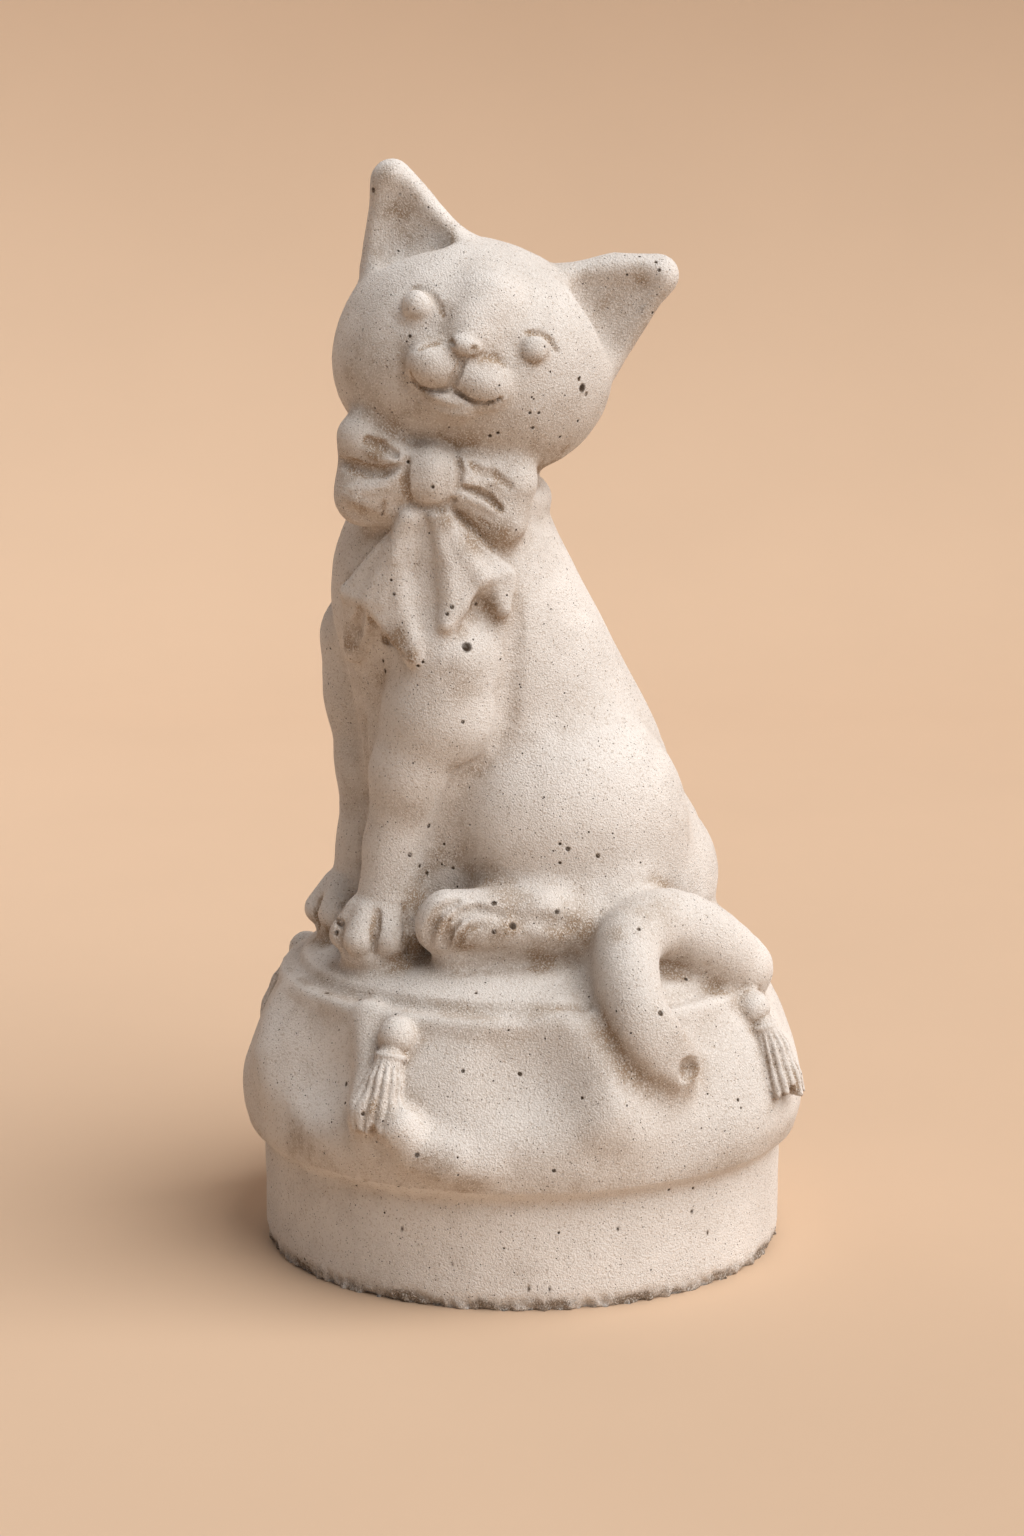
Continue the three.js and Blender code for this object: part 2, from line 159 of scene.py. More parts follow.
@dataclass
class Egg(Form):
    """An ellipsoid with its own axes."""

    centre: Sequence[float]
    radii: Sequence[float]
    axes: Points = field(default_factory=lambda: BODY_AXES)

    def distance(self, points: Points) -> Values:
        """Signed distance of each point, negative inside."""
        shares = (points - np.asarray(self.centre)) @ self.axes.T / np.asarray(self.radii)
        reach = lengths(shares)
        slope = lengths(shares / np.asarray(self.radii))
        deep = -min(self.radii)
        return np.where(slope > 1e-9, reach * (reach - 1) / np.maximum(slope, 1e-9), deep)

    def box(self) -> tuple[Points, Points]:
        """Lowest and highest corners of the space that the form fills."""
        centre = np.asarray(self.centre)
        half = np.sqrt(((self.axes * np.asarray(self.radii)[:, None]) ** 2).sum(0))
        return centre - half, centre + half


@dataclass
class Limb(Form):
    """A limb between two points, with a round end of its own radius at each."""

    start: Sequence[float]
    end: Sequence[float]
    start_radius: float
    end_radius: float

    def distance(self, points: Points) -> Values:
        """Signed distance of each point, negative inside."""
        start = np.asarray(self.start)
        along = np.asarray(self.end) - start
        length2 = float(along @ along)
        taper = self.start_radius - self.end_radius
        side2 = max(length2 - taper * taper, 0.0)
        offset = points - start
        share = offset @ along
        past = share - length2
        off = offset * length2 - share[:, None] * along
        off2 = dots(off, off)
        share2 = share * share * length2
        past2 = past * past * length2
        limit = np.sign(taper) * taper * taper * off2
        at_end = np.sign(past) * side2 * past2 > limit
        at_start = np.sign(share) * side2 * share2 < limit
        side = (np.sqrt(off2 * side2 / length2) + share * taper) / length2 - self.start_radius
        from_start = np.sqrt(off2 + share2) / length2 - self.start_radius
        from_end = np.sqrt(off2 + past2) / length2 - self.end_radius
        return np.where(at_end, from_end, np.where(at_start, from_start, side))

    def box(self) -> tuple[Points, Points]:
        """Lowest and highest corners of the space that the form fills."""
        start, end = np.asarray(self.start), np.asarray(self.end)
        low = np.minimum(start - self.start_radius, end - self.end_radius)
        return low, np.maximum(start + self.start_radius, end + self.end_radius)


@dataclass
class Plate(Form):
    """A three-cornered plate with round edges."""

    corners: Sequence[Sequence[float]]
    radius: float

    def distance(self, points: Points) -> Values:
        """Signed distance of each point, negative inside."""
        corners = [np.asarray(corner) for corner in self.corners]
        sides = [corners[(i + 1) % 3] - corners[i] for i in range(3)]
        normal = np.cross(sides[0], corners[2] - corners[0])
        over = np.ones(len(points), bool)
        gaps = np.full(len(points), np.inf)
        for corner, side in zip(corners, sides):
            offset = points - corner
            over &= offset @ np.cross(normal, side) >= 0
            share = np.clip(offset @ side / (side @ side), 0, 1)
            gaps = np.minimum(gaps, lengths(offset - share[:, None] * side))
        height = np.abs((points - corners[0]) @ normal) / math.sqrt(normal @ normal)
        return np.where(over, height, gaps) - self.radius

    def box(self) -> tuple[Points, Points]:
        """Lowest and highest corners of the space that the form fills."""
        corners = np.asarray(self.corners)
        return corners.min(0) - self.radius, corners.max(0) + self.radius


@dataclass
class Ring(Form):
    """A ring round an axis."""

    centre: Sequence[float]
    axis: Points
    radius: float
    thickness: float

    def distance(self, points: Points) -> Values:
        """Signed distance of each point, negative inside."""
        offset = points - np.asarray(self.centre)
        height = offset @ self.axis
        out = np.sqrt(np.maximum(dots(offset, offset) - height * height, 0))
        return np.hypot(out - self.radius, height) - self.thickness

    def box(self) -> tuple[Points, Points]:
        """Lowest and highest corners of the space that the form fills."""
        centre = np.asarray(self.centre)
        half = self.radius * np.sqrt(1 - np.minimum(self.axis ** 2, 1)) + self.thickness
        return centre - half, centre + half


@dataclass
class Turned(Form):
    """A form of its own, given by a function, with the box that it fills."""

    function: Callable[[Points], Values]
    low: Sequence[float]
    high: Sequence[float]

    def distance(self, points: Points) -> Values:
        """Signed distance of each point, negative inside."""
        return self.function(points)

    def box(self) -> tuple[Points, Points]:
        """Lowest and highest corners of the space that the form fills."""
        return np.asarray(self.low, float), np.asarray(self.high, float)


class Work(Enum):
    """What is done with a form: it is joined to the casting or carved out of it."""

    JOIN = 1
    CARVE = -1


def rounded_min(a: Values, b: Values, fillet: float) -> Values:
    """The lesser of two distances, with a fillet where they meet."""
    overlap = np.maximum(fillet - np.abs(a - b), 0) / fillet
    return np.minimum(a, b) - overlap * overlap * fillet / 4


@dataclass
class Step:
    """One step of a casting: a form, its fillet, what is done with it and how far it counts."""

    form: Form
    fillet: float
    work: Work
    low: Points
    high: Points

    def near(self, x: Values, y: Values, z: Values) -> np.ndarray:
        """Numbers of the points that the step can change."""
        low, high = self.low, self.high
        inside = (x > low[0]) & (x < high[0]) & (y > low[1]) & (y < high[1])
        return np.nonzero(inside & (z > low[2]) & (z < high[2]))[0]


class Casting(Form):
    """Forms joined and carved in order."""

    def __init__(self, scale: float = 1.0, origin: Triple = (0.0, 0.0, 0.0)) -> None:
        """Starts an empty casting.

        Args:
            scale: millimetres to one of the casting's own units.
            origin: place of the casting's own origin, in millimetres.
        """
        self.scale = scale
        self.origin = np.asarray(origin)
        self.steps: list[Step] = []

    def add(self, form: Form, fillet: float, work: Work) -> None:
        """Adds one step.

        Args:
            form: the form that is joined or carved.
            fillet: width over which it blends into what is there.
            work: whether it is joined or carved.
        """
        low, high = form.box()
        pad = REACH / self.scale
        self.steps.append(Step(form, fillet, work, low - pad, high + pad))

    def join(self, form: Form, fillet: float) -> None:
        """Joins a form, with a fillet."""
        self.add(form, fillet, Work.JOIN)

    def carve(self, form: Form, fillet: float) -> None:
        """Carves a form out, with a fillet."""
        self.add(form, fillet, Work.CARVE)

    def distance(self, points: Points) -> Values:
        """Signed distance of each point, negative inside."""
        local = (points - self.origin) / self.scale
        x, y, z = np.ascontiguousarray(local.T)
        result = np.full(len(points), 2 * REACH / self.scale)
        for step in self.steps:
            near = step.near(x, y, z)
            if len(near):
                sign = step.work.value
                there = step.form.distance(local[near])
                result[near] = sign * rounded_min(sign * result[near], there, step.fillet)
        return result * self.scale

    def box(self) -> tuple[Points, Points]:
        """Lowest and highest corners of the space that the joined forms fill."""
        boxes = [step.form.box() for step in self.steps if step.work is Work.JOIN]
        low = np.min([low for low, _ in boxes], axis=0)
        high = np.max([high for _, high in boxes], axis=0)
        return low * self.scale + self.origin, high * self.scale + self.origin

    def sense(self, points: Points, step: float = 0.25) -> tuple[Values, Points]:
        """Distance and slope of each point, from four places round it.

        Args:
            points: the points.
            step: how far the four places are from the point, along each axis.

        Returns:
            The distances, and how fast they grow along each axis.
        """
        corners = np.array([[1, -1, -1], [-1, -1, 1], [-1, 1, -1], [1, 1, 1]]) * step
        values = [self.distance(points + corner) for corner in corners]
        slope = sum(value[:, None] * corner for value, corner in zip(values, corners))
        return sum(values) / 4, slope / (4 * step * step)

    def normals(self, points: Points, step: float = 0.25) -> Points:
        """Directions straight out of the surface, each with length one."""
        return unit_rows(self.sense(points, step)[1])


def chain(points: Sequence[Sequence[float]], radii: Sequence[float], fillet: float) -> Casting:
    """Limbs end to end, joined with a fillet.

    Args:
        points: the places that the limbs run through.
        radii: the radius at each place.
        fillet: width of the blend between two limbs.

    Returns:
        The chain as one form.
    """
    limbs = Casting()
    for i in range(1, len(points)):
        limbs.join(Limb(points[i - 1], points[i], radii[i - 1], radii[i]), fillet)
    return limbs


def curve_through(points: Sequence[Sequence[float]], pieces: int) -> Points:
    """Points evenly spread over a smooth curve that runs through all the given ones.

    Args:
        points: the places that the curve runs through.
        pieces: how many pieces it is cut into.

    Returns:
        The points of the curve, one more than its pieces.
    """
    given = np.asarray(points, float)
    padded = np.vstack([2 * given[0] - given[1], given, 2 * given[-1] - given[-2]])
    spots = np.linspace(0, len(given) - 1, pieces + 1)
    starts = np.minimum(spots.astype(int), len(given) - 2)
    t = (spots - starts)[:, None]
    p0, p1, p2, p3 = (padded[starts + i] for i in range(4))
    line = 2 * p1 + (p2 - p0) * t
    bend = (2 * p0 - 5 * p1 + 4 * p2 - p3) * t ** 2
    turn = (3 * p1 - p0 - 3 * p2 + p3) * t ** 3
    return (line + bend + turn) / 2


# Plinth and cushion


@dataclass
class Plinth:
    """The plain round plinth, with a crumbled lower edge.

    The crumbling deepens downward by a power, and its ripples are added to the first of
    its shares and kept between the other two.
    """

    radius: float = 97.0
    height: float = 46.0
    edge: float = 3.0
    footing: float = 10.0
    crumble_height: float = 7.5
    crumble_depth: float = 2.6
    crumble_curve: float = 1.5
    crumble_ripples: tuple[Triple, ...] = ((0.2, 11.0, 0.0), (1.0, 3.2, 40.0))
    crumble_shares: Triple = (0.8, 0.1, 2.0)

    def distance(self, points: Points) -> Values:
        """Signed distance of each point from the plinth and its footing."""
        middle = (self.height - self.footing) / 2
        out = np.hypot(points[:, 0], points[:, 1])
        across = out - self.radius + self.edge
        above = np.abs(points[:, 2] - middle) - (self.height + self.footing) / 2 + self.edge
        outside = np.hypot(np.maximum(across, 0), np.maximum(above, 0))
        return np.minimum(np.maximum(across, above), 0) + outside - self.edge

    def form(self) -> Form:
        """The plinth as a form."""
        low = (-self.radius, -self.radius, -self.footing)
        return Turned(self.distance, low, (self.radius, self.radius, self.height))

    def crumbled(self, points: Points) -> Values:
        """How far the lower edge has crumbled away at each point.

        Args:
            points: places on or near the plinth's wall.

        Returns:
            Depth in millimetres, nought above the crumbled edge.
        """
        low = np.clip(1 - points[:, 2] / self.crumble_height, 0, 1)
        usual, least, most = self.crumble_shares
        rough = np.clip(usual + rippled(points, self.crumble_ripples), least, most)
        return self.crumble_depth * low ** self.crumble_curve * rough


@dataclass
class Cushion:
    """The round cushion with dimpled sides, and its seam."""

    plinth: Plinth
    overhang: float = 9.0
    height: float = 74.0
    dimple_depth: float = 4.5
    seam_groove: float = 2.7
    rim: float = 2.6
    seam_place: tuple[float, float] = (0.812, -0.16)
    rim_place: tuple[float, float] = (0.828, -0.245)
    hem_tuck: float = 6.0
    corner_count: int = 4
    corner_turn: float = 44.0

    @property
    def radius(self) -> float:
        """Radius of the cushion where it is widest."""
        return self.plinth.radius + self.overhang

    @property
    def seat(self) -> float:
        """Height of the seat above the ground."""
        return self.plinth.height + self.height

    def outline(self) -> Points:
        """The cushion's turned outline: distance from the axis and height of each point."""
        shares = [
            (0.972, 0), (0.995, 0.135), (1, 0.297), (0.958, 0.514), (0.887, 0.689),
            (0.825, 0.804), (0.745, 0.892), (0.566, 0.98), (0.283, 1), (0, 1),
        ]
        curve = curve_through([(*share, 0) for share in shares], 40)[:, :2]
        side = curve * (self.radius, self.height) + (0, self.plinth.height)
        hem = self.plinth.height - self.hem_tuck
        far = self.plinth.radius
        return np.vstack([(-far, hem), (far - 1, hem), side, (-far, self.seat)])

    def swelling(self, angle: Values, height: Values) -> Values:
        """How far the side swells out: dimples between corners, a lobe low at each corner.

        Args:
            angle: turn about the axis from the front toward the left, in radians.
            height: height above the ground.

        Returns:
            Millimetres outward.
        """
        turn = 2 * math.pi / self.corner_count
        cycle = np.mod(angle - math.radians(self.corner_turn), turn) / turn
        rise = (height - self.plinth.height) / self.height

        def patch(at: float, level: float, wide: float, tall: float) -> Values:
            """A soft round patch of the side."""
            return np.exp(-(((cycle - at) / wide) ** 2) - ((rise - level) / tall) ** 2)

        dimples = patch(0.26, 0.5, 0.155, 0.26) + patch(0.73, 0.49, 0.145, 0.26)
        lobes = patch(0, 0.15, 0.18, 0.15) + patch(1, 0.15, 0.18, 0.15)
        hollow = patch(0.61, 0.22, 0.1, 0.12)
        return self.dimple_depth * (lobes / 2 - dimples - hollow / 3)

    def distance(self, points: Points) -> Values:
        """Signed distance of each point from the cushion."""
        height = points[:, 2]
        out = np.hypot(points[:, 0], points[:, 1])
        out = out - self.swelling(np.arctan2(points[:, 0], -points[:, 1]), height)
        outline = self.outline()
        nearest = np.full(len(points), np.inf)
        inside = np.zeros(len(points), bool)
        for a, b in zip(np.roll(outline, 1, axis=0), outline):
            along = b - a
            from_x, from_y = out - a[0], height - a[1]
            share = np.clip((from_x * along[0] + from_y * along[1]) / (along @ along), 0, 1)
            gap = np.hypot(from_x - along[0] * share, from_y - along[1] * share)
            nearest = np.minimum(nearest, gap)
            if a[1] != b[1]:
                spans = (a[1] > height) != (b[1] > height)
                inside ^= spans & (from_x < along[0] * from_y / along[1])
        return np.where(inside, -nearest, nearest)

    def form(self) -> Form:
        """The cushion as a form."""
        far = self.radius + self.dimple_depth
        low = (-far, -far, self.plinth.height - self.hem_tuck)
        return Turned(self.distance, low, (far, far, self.seat))

    def place(self, degrees: float, out: float, rise: float) -> Points:
        """A place on the cushion.

        Args:
            degrees: turn from the front toward the left.
            out: share of the cushion's radius.
            rise: share of its height above the seat.

        Returns:
            The place in millimetres.
        """
        angle, radius = math.radians(degrees), out * self.radius
        height = self.seat + rise * self.height
        return np.array([math.sin(angle) * radius, -math.cos(angle) * radius, height])

    def ring(self, at: tuple[float, float], thickness: float) -> Ring:
        """A ring round the cushion.

        Args:
            at: share of the cushion's radius, and share of its height above the seat.
            thickness: radius of the ring's own round section.

        Returns:
            The ring.
        """
        out, rise = at
        return Ring((0, 0, self.seat + rise * self.height), UP, out * self.radius, thickness)

    def add_to(self, casting: Casting) -> None:
        """Joins the cushion and carves its seam, with a raised rim just below."""
        casting.join(self.form(), 2.4)
        casting.join(self.ring(self.rim_place, self.rim), 4)
        casting.carve(self.ring(self.seam_place, self.seam_groove), 2.5)


@dataclass
class Tassel:
    """A tassel that hangs from a corner of the cushion: a ball, a tie and a skirt of strands.

    The skirt's course gives, for each place down its middle, how far out and how high it
    is on the cushion, and its radius there as a share of the skirt's size.
    """

    cushion: Cushion
    degrees: float
    ball: float = 7.0
    ball_place: tuple[float, float] = (0.89, -0.3)
    skirt: float = 9.0
    course: tuple[Triple, ...] = (
        (0.935, -0.38, 0.52), (0.975, -0.5, 0.72), (1.0, -0.64, 0.92), (1.015, -0.78, 1.04),
    )
    length: float = 28.5
    strands: int = 17
    strand_depth: float = 1.5
    tie: float = 1.5

    def axis(self) -> tuple[Points, Points]:
        """Upper and lower ends of the skirt's middle line."""
        top = self.cushion.place(self.degrees, 0.93, -0.38)
        return top, self.cushion.place(self.degrees, 0.976, -0.6)

    def skirt_distance(self, points: Points) -> Values:
        """Signed distance from the skirt, with its strands and ragged lower end."""
        place = self.cushion.place
        middles = [place(self.degrees, out, rise) for out, rise, _ in self.course]
        radii = [share * self.skirt for _, _, share in self.course]
        top, low = self.axis()
        down = (low - top) / np.linalg.norm(low - top)
        side = turned_axes(self.degrees)[0]
        out = np.cross(side, down)
        offset = points - top
        angle = np.arctan2(offset @ side, offset @ out)
        drop = offset @ down
        wander = 0.4 * np.sin(drop * 0.13 + self.degrees)
        fold = np.abs(np.sin(angle * self.strands / 2 + wander))
        body = chain(middles, radii, 1).distance(points)
        bottom = place(self.degrees, *self.ball_place)[2] - self.length
        ragged = bottom + 1.7 * np.sin(angle * 5 + self.degrees) + 1.3 * np.sin(angle * 11)
        deep = self.strand_depth * np.clip(drop / 6, 0.25, 1)
        return np.maximum(body + deep * (1 - fold) ** 1.5, ragged - points[:, 2])

    def add_to(self, casting: Casting) -> None:
        """Joins the ball, the skirt and the tie between them."""
        centre = self.cushion.place(self.degrees, *self.ball_place)
        top, low = self.axis()
        casting.join(Ball(centre, self.ball), 2)
        reach = self.skirt + 3
        corners = np.minimum(top, low) - reach, np.maximum(top, low) + reach
        casting.join(Turned(self.skirt_distance, *corners), 0.8)
        down = (low - top) / np.linalg.norm(low - top)
        casting.join(Ring(top + 0.4 * down, down, 0.5 * self.skirt, self.tie), 0.4)


@dataclass
class Tail:
    """The tail: from under the rump round the cushion's edge, then hooked down over it."""

    cushion: Cushion
    scale: float
    path: tuple[Triple, ...] = (
        (175, 0.43, 0.06), (158, 0.64, -0.09), (143, 0.79, -0.16), (130, 0.76, 0.02),
        (118, 0.69, 0.15), (103, 0.71, 0.12), (97, 0.82, -0.02), (97, 0.91, -0.19),
        (100.5, 0.985, -0.34), (104.5, 1.0, -0.44),
    )
    radii: tuple[float, ...] = (5, 5, 4.6, 4.6, 4.5, 4.3, 4.1, 3.9, 3.8, 3.4)
    pieces: int = 27

    def course(self, sink: float, share: float) -> Form:
        """The tail, or the bed that fills the gap between it and the cushion.

        Args:
            sink: how far in and down it is moved, in shares of the cushion's sizes.
            share: share of the tail's own thickness.

        Returns:
            The tail as one form.
        """
        place = self.cushion.place
        places = [place(turn, out - sink, rise - sink) for turn, out, rise in self.path]
        points = curve_through(places, self.pieces)
        radii = curve_through([(radius, 0, 0) for radius in self.radii], self.pieces)[:, 0]
        return chain(points, radii * self.scale * share, 0.5)

    def add_to(self, casting: Casting) -> None:
        """Joins the bed and the tail."""
        casting.join(self.course(0.09, 0.9), 7)
        casting.join(self.course(0, 1), 4)


# Cat. Its places and radii are hundredths of its height, with the middle of the seat as
# origin, and a pair is made by turning the sign of x.


@dataclass
class Foreleg:
    """One foreleg and its paw."""

    path: tuple[Triple, ...]
    radii: tuple[float, ...]
    paw: tuple[float, float]
    toes: tuple[float, ...]

    def add_to(self, cat: Casting) -> None:
        """Joins the leg, the paw and its toes, each at its turn from the front."""
        cat.join(chain(self.path, self.radii, 2), 1.5)
        across, ahead = self.paw
        middle = np.array([across, ahead + 1.6, 0])
        cat.join(Egg(middle - (0, 0, 0.6), (5.2, 5.2, 3.2)), 1.5)
        for turn in self.toes:
            away = turned_axes(turn)[2]
            knuckle, tip = middle + 2.3 * away + 4.6 * UP, middle + 4.5 * away + 1.7 * UP
            cat.join(Limb(knuckle, tip, 2.2, 2.15), 0.7)


@dataclass
class Body:
    """Trunk, haunches, hind paws and forelegs."""

    forelegs: tuple[Foreleg, ...] = (
        Foreleg(
            (
                (10, -13, 37.7), (9.6, -13.9, 30.6), (8.5, -17.3, 22.8), (7.1, -19.4, 12.8),
                (7.8, -20.6, 5),
            ),
            (7.8, 7.5, 5.5, 4, 4.4),
            (7.8, -23.5),
            (-60, -12, 39, 92, 140),
        ),
        Foreleg(
            (
                (-9.3, -17.4, 37.7), (-8.9, -17.2, 30.3), (-7.5, -17.8, 21.4),
                (-6.8, -19, 10.7), (-7.1, -19.9, 5),
            ),
            (7.4, 6.8, 5.2, 4, 4.4),
            (-7.1, -22.8),
            (-110, -62, -14, 38),
        ),
    )

    def add_trunk(self, cat: Casting) -> None:
        """Joins back, chest, belly, rump and neck."""
        cat.join(Limb((0, -10, 46.3), (0, 3, 20.6), 15.3, 16), 3.5)
        cat.join(Limb((0, -14, 41.3), (0.4, -15, 23.5), 10.3, 6), 3)
        cat.join(Limb((0.4, -10.7, 25), (0.7, -12.8, 2), 10, 7.8), 3)
        cat.join(Limb((6.4, -11.2, 27), (6.8, -11.4, 3), 5, 5.2), 4)
        cat.join(Egg((0, 9.3, 5.8), (17.8, 17.3, 14.3)), 8)
        cat.join(Limb((0.7, -10.3, 54), (2, -10, 64), 11.7, 10.7), 3)

    def add_haunch(self, cat: Casting, side: int) -> None:
        """Joins one haunch with its hind paw.

        Args:
            cat: the casting it is joined to.
            side: 1 for the left, -1 for the right.
        """
        cat.join(Egg((side * 12.5, 3, 16), (9.6, 15.1, 14.2)), 3.6)
        foot = [(side * 21, 4.3, 3.9), (side * 20.2, -4, 4.9), (side * 17.2, -15.6, 5.3)]
        cat.join(chain(foot, [3.2, 4.1, 3.8], 2), 2.4)
        cat.join(Limb((side * 16, 6, 6), (side * 15, -6, 4), 7, 6), 3)
        cat.join(Limb((side * 18, -1, 0), (side * 16.3, -14, 0.6), 3.4, 3.4), 2)
        cat.join(Limb((side * 19.6, -14.8, 4.4), (side * 21.3, -9.4, 4.5), 2.4, 2.4), 0.9)
        cat.join(Ball((side * 17.3, -17.2, 4), 2.6), 1.5)

    def add_to(self, cat: Casting) -> None:
        """Joins the whole body."""
        self.add_trunk(cat)
        self.add_haunch(cat, 1)
        self.add_haunch(cat, -1)
        for foreleg in self.forelegs:
            foreleg.add_to(cat)


@dataclass
class Ear:
    """One ear: its tip, the two ends of its root and where its upper edge bends.

    Each is side and up on the head.
    """

    tip: tuple[float, float]
    low: tuple[float, float]
    high: tuple[float, float]
    bend: tuple[float, float]


@dataclass
class Head:
    """The turned, leaning head. Its places are side, up and forward from its centre."""

    turn: float = 72.0
    lean: float = 20.6
    centre: Triple = (3.4, -8.5, 76.0)
    ears: tuple[Ear, ...] = (
        Ear((-16.6, 16.9), (-14.5, 6.1), (-6.4, 11.6), (-11.7, 14.3)),
        Ear((19.3, 17.6), (16.9, 5.3), (9.3, 12.6), (14, 16.4)),
    )
    eyes: tuple[tuple[float, float], ...] = ((-7.9, 12.5), (7.2, 13.5))

    def axes(self) -> Points:
        """Side, up and forward axes of the head."""
        return leaning_axes(turned_axes(self.turn), self.lean)

    def place(self, side: float, rise: float, forward: float) -> Points:
        """A place on the head, in the cat's own frame."""
        return np.asarray(self.centre) + np.array([side, rise, forward]) @ self.axes()

    def add_skull(self, cat: Casting) -> None:
        """Joins the skull and both cheeks."""
        axes = self.axes()
        cat.join(Egg(self.place(1.2, 0, 0), (17.8, 14.8, 16), axes), 1.8)
        cat.join(Egg(self.place(-4.8, -5, 1.4), (10.7, 9.4, 11.4), axes), 3.5)
        cat.join(Egg(self.place(5.7, -2.8, 1.4), (10, 8.5, 11.4), axes), 3.5)

    def add_ear(self, cat: Casting, ear: Ear) -> None:
        """Joins one ear and hollows it at the front."""
        tip, low = self.place(*ear.tip, -0.7), self.place(*ear.low, -2.1)
        high, bend = self.place(*ear.high, 0), self.place(*ear.bend, -0.6)
        middle = [(1.2 * ear.tip[i] + ear.low[i] + ear.high[i]) / 3.2 for i in range(2)]

        def inward(corner: tuple[float, float], forward: float) -> Points:
            """A corner of the hollow, drawn in toward the ear's middle."""
            side, rise = (middle[i] + 0.55 * (corner[i] - middle[i]) for i in range(2))
            return self.place(side, rise, forward)

        hollow = [inward(ear.tip, 2.9), inward(ear.low, 2.3), inward(ear.high, 3.0)]
        cat.join(Plate([tip, low, high], 2.3), 2.1)
        cat.join(Plate([tip, high, bend], 2.1), 2.1)
        cat.carve(Plate(hollow, 2), 2.4)

    def add_face(self, cat: Casting) -> None:
        """Joins the bridge of the nose, muzzle, nose and chin, and sets the eyes in."""
        axes = self.axes()
        cat.join(Limb(self.place(0, 7.8, 11), self.place(-0.7, 2.8, 15.0), 3.2, 1.6), 3.0)
        for side in (-1, 1):
            lobe = self.place(-0.4 + side * 3.0, -1.7, 15.2)
            cat.join(Egg(lobe, (3.7, 2.85, 2.8), axes), 1.7)
        cat.join(Egg(self.place(-0.75, 2.0, 16.5), (2.05, 1.4, 1.6), axes), 0.6)
        cat.join(Egg(self.place(0, -5.3, 14.1), (3.5, 2.0, 3.0), axes), 0.8)
        for side, depth in self.eyes:
            cat.carve(Egg(self.place(side, 4.3, depth + 2.8), (3.6, 2.8, 1.3), axes), 1.4)
            cat.join(Ball(self.place(side, 4.2, depth - 0.15), 2.05), 0.4)

    def add_to(self, cat: Casting) -> None:
        """Joins the whole head."""
        self.add_skull(cat)
        for ear in self.ears:
            self.add_ear(cat, ear)
        self.add_face(cat)


@dataclass
class Bow:
    """The ribbon: a band round the neck, a knot, two loops and two forked tails.

    Its places are side, up and forward from the middle of the seat, turned with the head.
    """

    turn: float = 72.0
    band_lean: float = 12.0
    ribbon: float = 1.35
    lift: float = 0.9

    def place(self, side: float, rise: float, forward: float) -> Points:
        """A place on the bow, in the cat's own frame."""
        return np.array([side, rise, forward]) @ turned_axes(self.turn)

    def add_band(self, cat: Casting) -> None:
        """Joins the band round the neck."""
        axis = leaning_axes(turned_axes(self.turn), self.band_lean)[1]
        cat.join(Ring((0.4, -10.1, 59.6), axis, 11.2, 2.3), 1.4)

    def add_loops(self, cat: Casting) -> None:
        """Joins the knot and the loops, and fills in behind them."""
        loops = (
            ((-14.8, 63.2, 17.8), (-20, 66, 14.2), 1.8, 3.5),
            ((-14.8, 60.4, 17.6), (-19.9, 58.7, 14.4), 2.0, 4.0),
            ((-7.6, 62.2, 17.8), (-1.9, 60.6, 14.9), 2.1, 3.9),
            ((-7.6, 59.5, 17.8), (-2.9, 55.6, 15.3), 2.1, 3.6),
        )
        place = self.place
        cat.join(Limb(place(-11, 60.5, 9), place(-11.4, 60, 15), 6, 4), 1)
        cat.join(Limb(place(-15.6, 57, 15.2), place(-15.6, 63, 13.4), 2.7, 2.7), 1)
        cat.join(Limb(place(-15, 61.8, 16.4), place(-20, 62.3, 13.6), 2.2, 3.2), 1)
        cat.join(Limb(place(-8, 60.9, 16.4), place(-3, 58, 13.8), 2.4, 3.0), 1)
        for inner, outer, narrow, full in loops:
            cat.join(Limb(place(*inner), place(*outer), narrow, full), 2)
        cat.join(Egg(place(-11.5, 61.4, 17.6), (3.4, 4.2, 3.4), turned_axes(self.turn)), 1.3)

    def add_tails(self, cat: Casting) -> None:
        """Joins the two forked tails, each cut from three-cornered pieces of ribbon."""
        pieces = (
            ((-12.3, 56.7, 15.8), (-15.3, 46.7, 15.2), (-10.5, 45.5, 16)),
            ((-14.2, 55.9, 17.4), (-21.8, 46, 12.1), (-17.4, 45.6, 16.4)),
            ((-21.8, 46, 12.1), (-21.6, 38, 10.2), (-18.6, 44.6, 15.2)),
            ((-14.2, 55.9, 17.4), (-18.9, 45.4, 15.4), (-13.6, 38.9, 18.9)),
            ((-10.4, 56.6, 17.8), (-9.7, 43.2, 19.2), (-5.4, 48.6, 17.8)),
            ((-10.4, 56.6, 17.8), (-5.4, 48.6, 17.8), (-2.6, 49.1, 16)),
            ((-5.4, 48.7, 17.8), (-2.2, 48.7, 16), (-2.4, 44.7, 16.4)),
        )
        valley = ((-12.4, 56.5, 16.9), (-12.8, 41.4, 18.2), (-9.6, 43.6, 18.5))
        cat.join(Plate([self.place(*corner) for corner in valley], 1.9), 2)
        for corners in pieces:
            raised = [self.place(*corner) for corner in np.add(corners, (0, 0, self.lift))]
            cat.join(Plate(raised, self.ribbon), 0.7)

    def add_to(self, cat: Casting) -> None:
        """Joins the whole bow."""
        self.add_band(cat)
        self.add_loops(cat)
        self.add_tails(cat)


